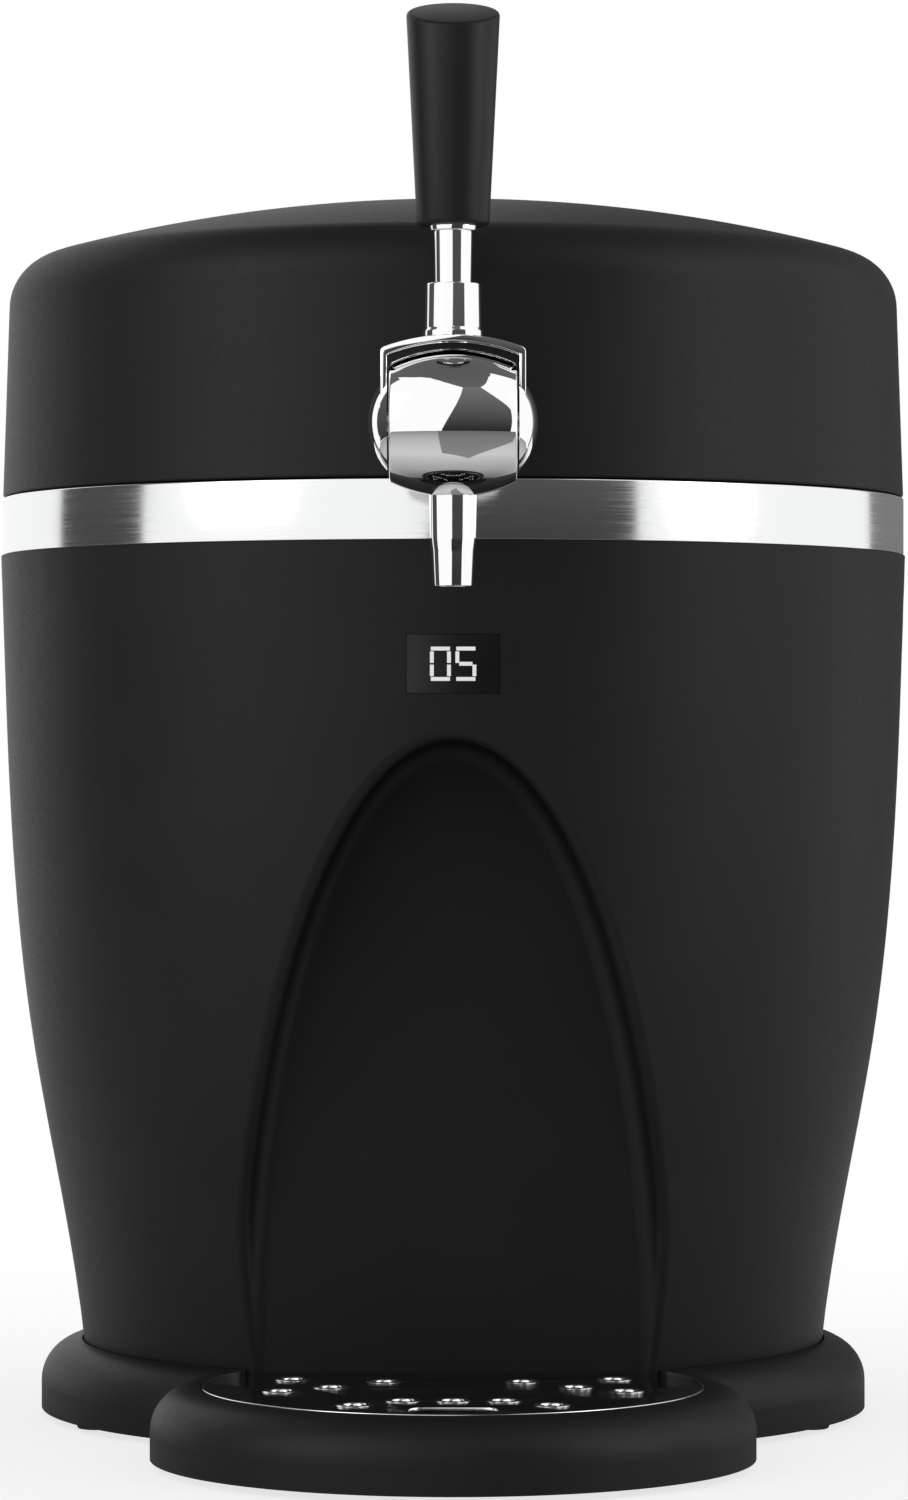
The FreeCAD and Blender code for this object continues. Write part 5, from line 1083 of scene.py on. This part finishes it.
def make_floor():
    bm = bmesh.new()
    bmesh.ops.create_circle(bm, cap_ends=True, radius=FLOOR_R, segments=128)
    material, tree, shader, place = new_material(
        "white_studio_floor", {"Roughness": 0.9, "Base Color": srgb("#f4f4f4")})
    # away from the object the floor turns into the white backdrop
    distance = add(tree, "ShaderNodeVectorMath", {0: place}, {"operation": "LENGTH"}).outputs["Value"]
    far = add(tree, "ShaderNodeMapRange",
              {"Value": distance, "From Min": 0.2, "From Max": 0.6, "To Min": 0.75, "To Max": 1.0})
    white = add(tree, "ShaderNodeEmission", {"Color": (1, 1, 1, 1), "Strength": 1.0})
    mix = add(tree, "ShaderNodeMixShader", {0: far.outputs[0], 1: shader.outputs[0], 2: white.outputs[0]})
    out = [n for n in tree.nodes if n.type == "OUTPUT_MATERIAL"][0]
    tree.links.new(mix.outputs[0], out.inputs["Surface"])
    new_piece("studio_floor", bare_mesh("studio_floor", bm), material)


def make_card(name, columns, levels, on_floor=False, lift=MM):
    """A grey card round the tap that only shows in reflections.

    Columns are (azimuth, lowest elevation, highest elevation) in degrees, azimuth 0 to the front and + to the
    right. A card on the floor lies where its directions meet the ground, the others stand on a sphere. Its
    levels are (share, brightness) stops from its foot to its top, or from near to far on the floor.
    """
    material = bpy.data.materials.new(name)
    tree = emptied_tree(material)
    place = add(tree, "ShaderNodeTexCoord").outputs["Object"]
    height = add(tree, "ShaderNodeSeparateXYZ", {0: place}).outputs["Z"]
    if on_floor:
        height = add(tree, "ShaderNodeVectorMath", {0: place}, {"operation": "LENGTH"}).outputs["Value"]
    reach = 12
    rows = []
    bm = bmesh.new()
    for (az0, low0, high0), (az1, low1, high1) in zip(columns, columns[1:]):
        steps = max(2, int(abs(az1 - az0) / 4))
        for k in range(steps + 1):
            t = k / steps
            az = math.radians(az0 + (az1 - az0) * t)
            low = low0 + (low1 - low0) * t
            high = high0 + (high1 - high0) * t
            column = []
            for i in range(reach + 1):
                el = math.radians(low + (high - low) * i / reach)
                far = (TAP.z - lift) / -math.sin(el) if on_floor else CARD_DISTANCE
                aim = Vector((math.cos(el) * math.sin(az), -math.cos(el) * math.cos(az), math.sin(el)))
                column.append(bm.verts.new(TAP + aim * far))
            rows.append(column)
    for left, right in zip(rows, rows[1:]):
        for i in range(reach):
            bm.faces.new((left[i], right[i], right[i + 1], left[i + 1]))
    bmesh.ops.remove_doubles(bm, verts=bm.verts, dist=1e-6)
    tops = [v.co.length if on_floor else v.co.z for v in bm.verts]
    share = add(tree, "ShaderNodeMapRange", {"Value": height, "From Min": min(tops), "From Max": max(tops)})
    level = add(tree, "ShaderNodeValToRGB", {"Fac": share.outputs[0]})
    for k, (place_on, bright) in enumerate(levels):
        stop = level.color_ramp.elements[k] if k < 2 else level.color_ramp.elements.new(place_on)
        stop.position = place_on
        stop.color = (bright, bright, bright, 1)
    glow = add(tree, "ShaderNodeEmission", {"Color": level.outputs[0]})
    add(tree, "ShaderNodeOutputMaterial", {"Surface": glow.outputs[0]})
    card = new_piece(name, bare_mesh(name, bm), material)
    card.visible_camera = False
    card.visible_diffuse = False
    card.visible_transmission = False
    card.visible_shadow = False


def make_world():
    world = bpy.data.worlds.new("white_studio")
    tree = emptied_tree(world)
    path = add(tree, "ShaderNodeLightPath")
    seen = add(tree, "ShaderNodeMath", {0: path.outputs["Is Camera Ray"], 1: path.outputs["Is Glossy Ray"]},
               {"operation": "MAXIMUM"})
    seen = add(tree, "ShaderNodeMath", {0: seen.outputs[0], 1: path.outputs["Is Transmission Ray"]},
               {"operation": "MAXIMUM"})
    soft = add(tree, "ShaderNodeBackground", {"Color": srgb("#ffffff"), "Strength": 0.55})
    white = add(tree, "ShaderNodeBackground", {"Color": srgb("#ffffff"), "Strength": 1.0})
    mix = add(tree, "ShaderNodeMixShader", {0: seen.outputs[0], 1: soft.outputs[0], 2: white.outputs[0]})
    add(tree, "ShaderNodeOutputWorld", {"Surface": mix.outputs[0]})
    bpy.context.scene.world = world


def make_lamp(name, place, aim, size, power, in_reflections=True):
    light = bpy.data.lights.new(name, "AREA")
    light.shape = "RECTANGLE"
    light.size, light.size_y = size
    light.energy = power
    lamp = new_object(name, light)
    lamp.location = place
    lamp.rotation_euler = (Vector(aim) - Vector(place)).to_track_quat("-Z", "Y").to_euler()
    lamp.visible_glossy = in_reflections


def make_lights():
    aim = AXIS + Vector((0, 0, 0.2))
    make_lamp("left_softbox", (-1.5, -1.1, 1.0), aim, (0.9, 1.4), 9)
    make_lamp("right_softbox", (1.6, -0.7, 0.9), aim, (0.7, 1.4), 7)
    make_lamp("top_softbox", (0.0, 0.6, 1.9), aim, (1.6, 0.9), 9, in_reflections=False)


def make_camera():
    data = bpy.data.cameras.new("front_camera")
    data.lens = CAMERA_LENS
    data.sensor_width = 36.0
    data.sensor_fit = "AUTO"
    data.shift_y = HORIZON_SHIFT
    data.clip_end = 60
    camera = new_object("front_camera", data)
    camera.location = (0.25 * MM, AXIS.y - CAMERA_DISTANCE, CAMERA_HEIGHT)
    camera.rotation_euler = (math.pi / 2, 0, 0)
    bpy.context.scene.camera = camera


make_camera()
make_world()
make_lights()
make_floor()
make_card("left_side_card", [(-118, -17, 60), (-86, -17, 60)], [(0, 0.04), (1, 0.12)])
make_card("front_right_card", [(-9, -16, -14), (11, -16, 53), (31, -16, 53), (48, -16, 18)],
          [(0, 0.02), (1, 0.16)])
make_card("rear_right_card", [(131, -17, 60), (178, -17, 60)], [(0, 0.16), (1, 0.30)])
# the lower edge of the card overhead: azimuth and elevation in degrees
OVERHEAD_EDGE = (
    (-180, 34), (-135, 42), (-110, 55), (-90, 63), (-60, 68), (-40, 68.5), (-20, 64.5), (-5, 59.5),
    (11, 52.5), (31, 52.5), (42, 58), (52, 63), (64, 67), (90, 70), (110, 44), (180, 34))
make_card("overhead_card", [(az, low, 90) for az, low in OVERHEAD_EDGE], [(0, 0.15), (1, 0.10)])
# painted shadow: a grey patch on the floor in front of the tap that only shows in the tap's reflections,
# standing in for shade on the floor there
make_card("front_floor_card", [(-12, -50, -15.6), (20, -58, -15.6), (56, -30, -15.6)], [(0, 0.24), (1, 0.13)],
          on_floor=True)
# painted shadow: a ring on the floor round the tap that only shows in reflections, darkest right under the
# tap where it stands for the object's shadow on the floor, and grey again towards the horizon
make_card("floor_card", [(-180, -84, -15.7), (180, -84, -15.7)],
          [(0, 0.012), (1, 0.22), (0.05, 0.03), (0.15, 0.34), (0.3, 0.60)], on_floor=True, lift=0.5 * MM)

dress_cad_nodes()
make_lid()
make_band()
make_drum()
make_spout()
make_flange()
make_yoke()
make_pivot_domes()
make_lever_stem()
make_handle()
make_eyelets()
make_drip_grid()
make_grid_rim()
make_screws()
make_fan()
make_heat_sink()
make_grille()
make_knob()
make_cartridge_cap()

bpy.context.scene.view_settings.view_transform = "Standard"
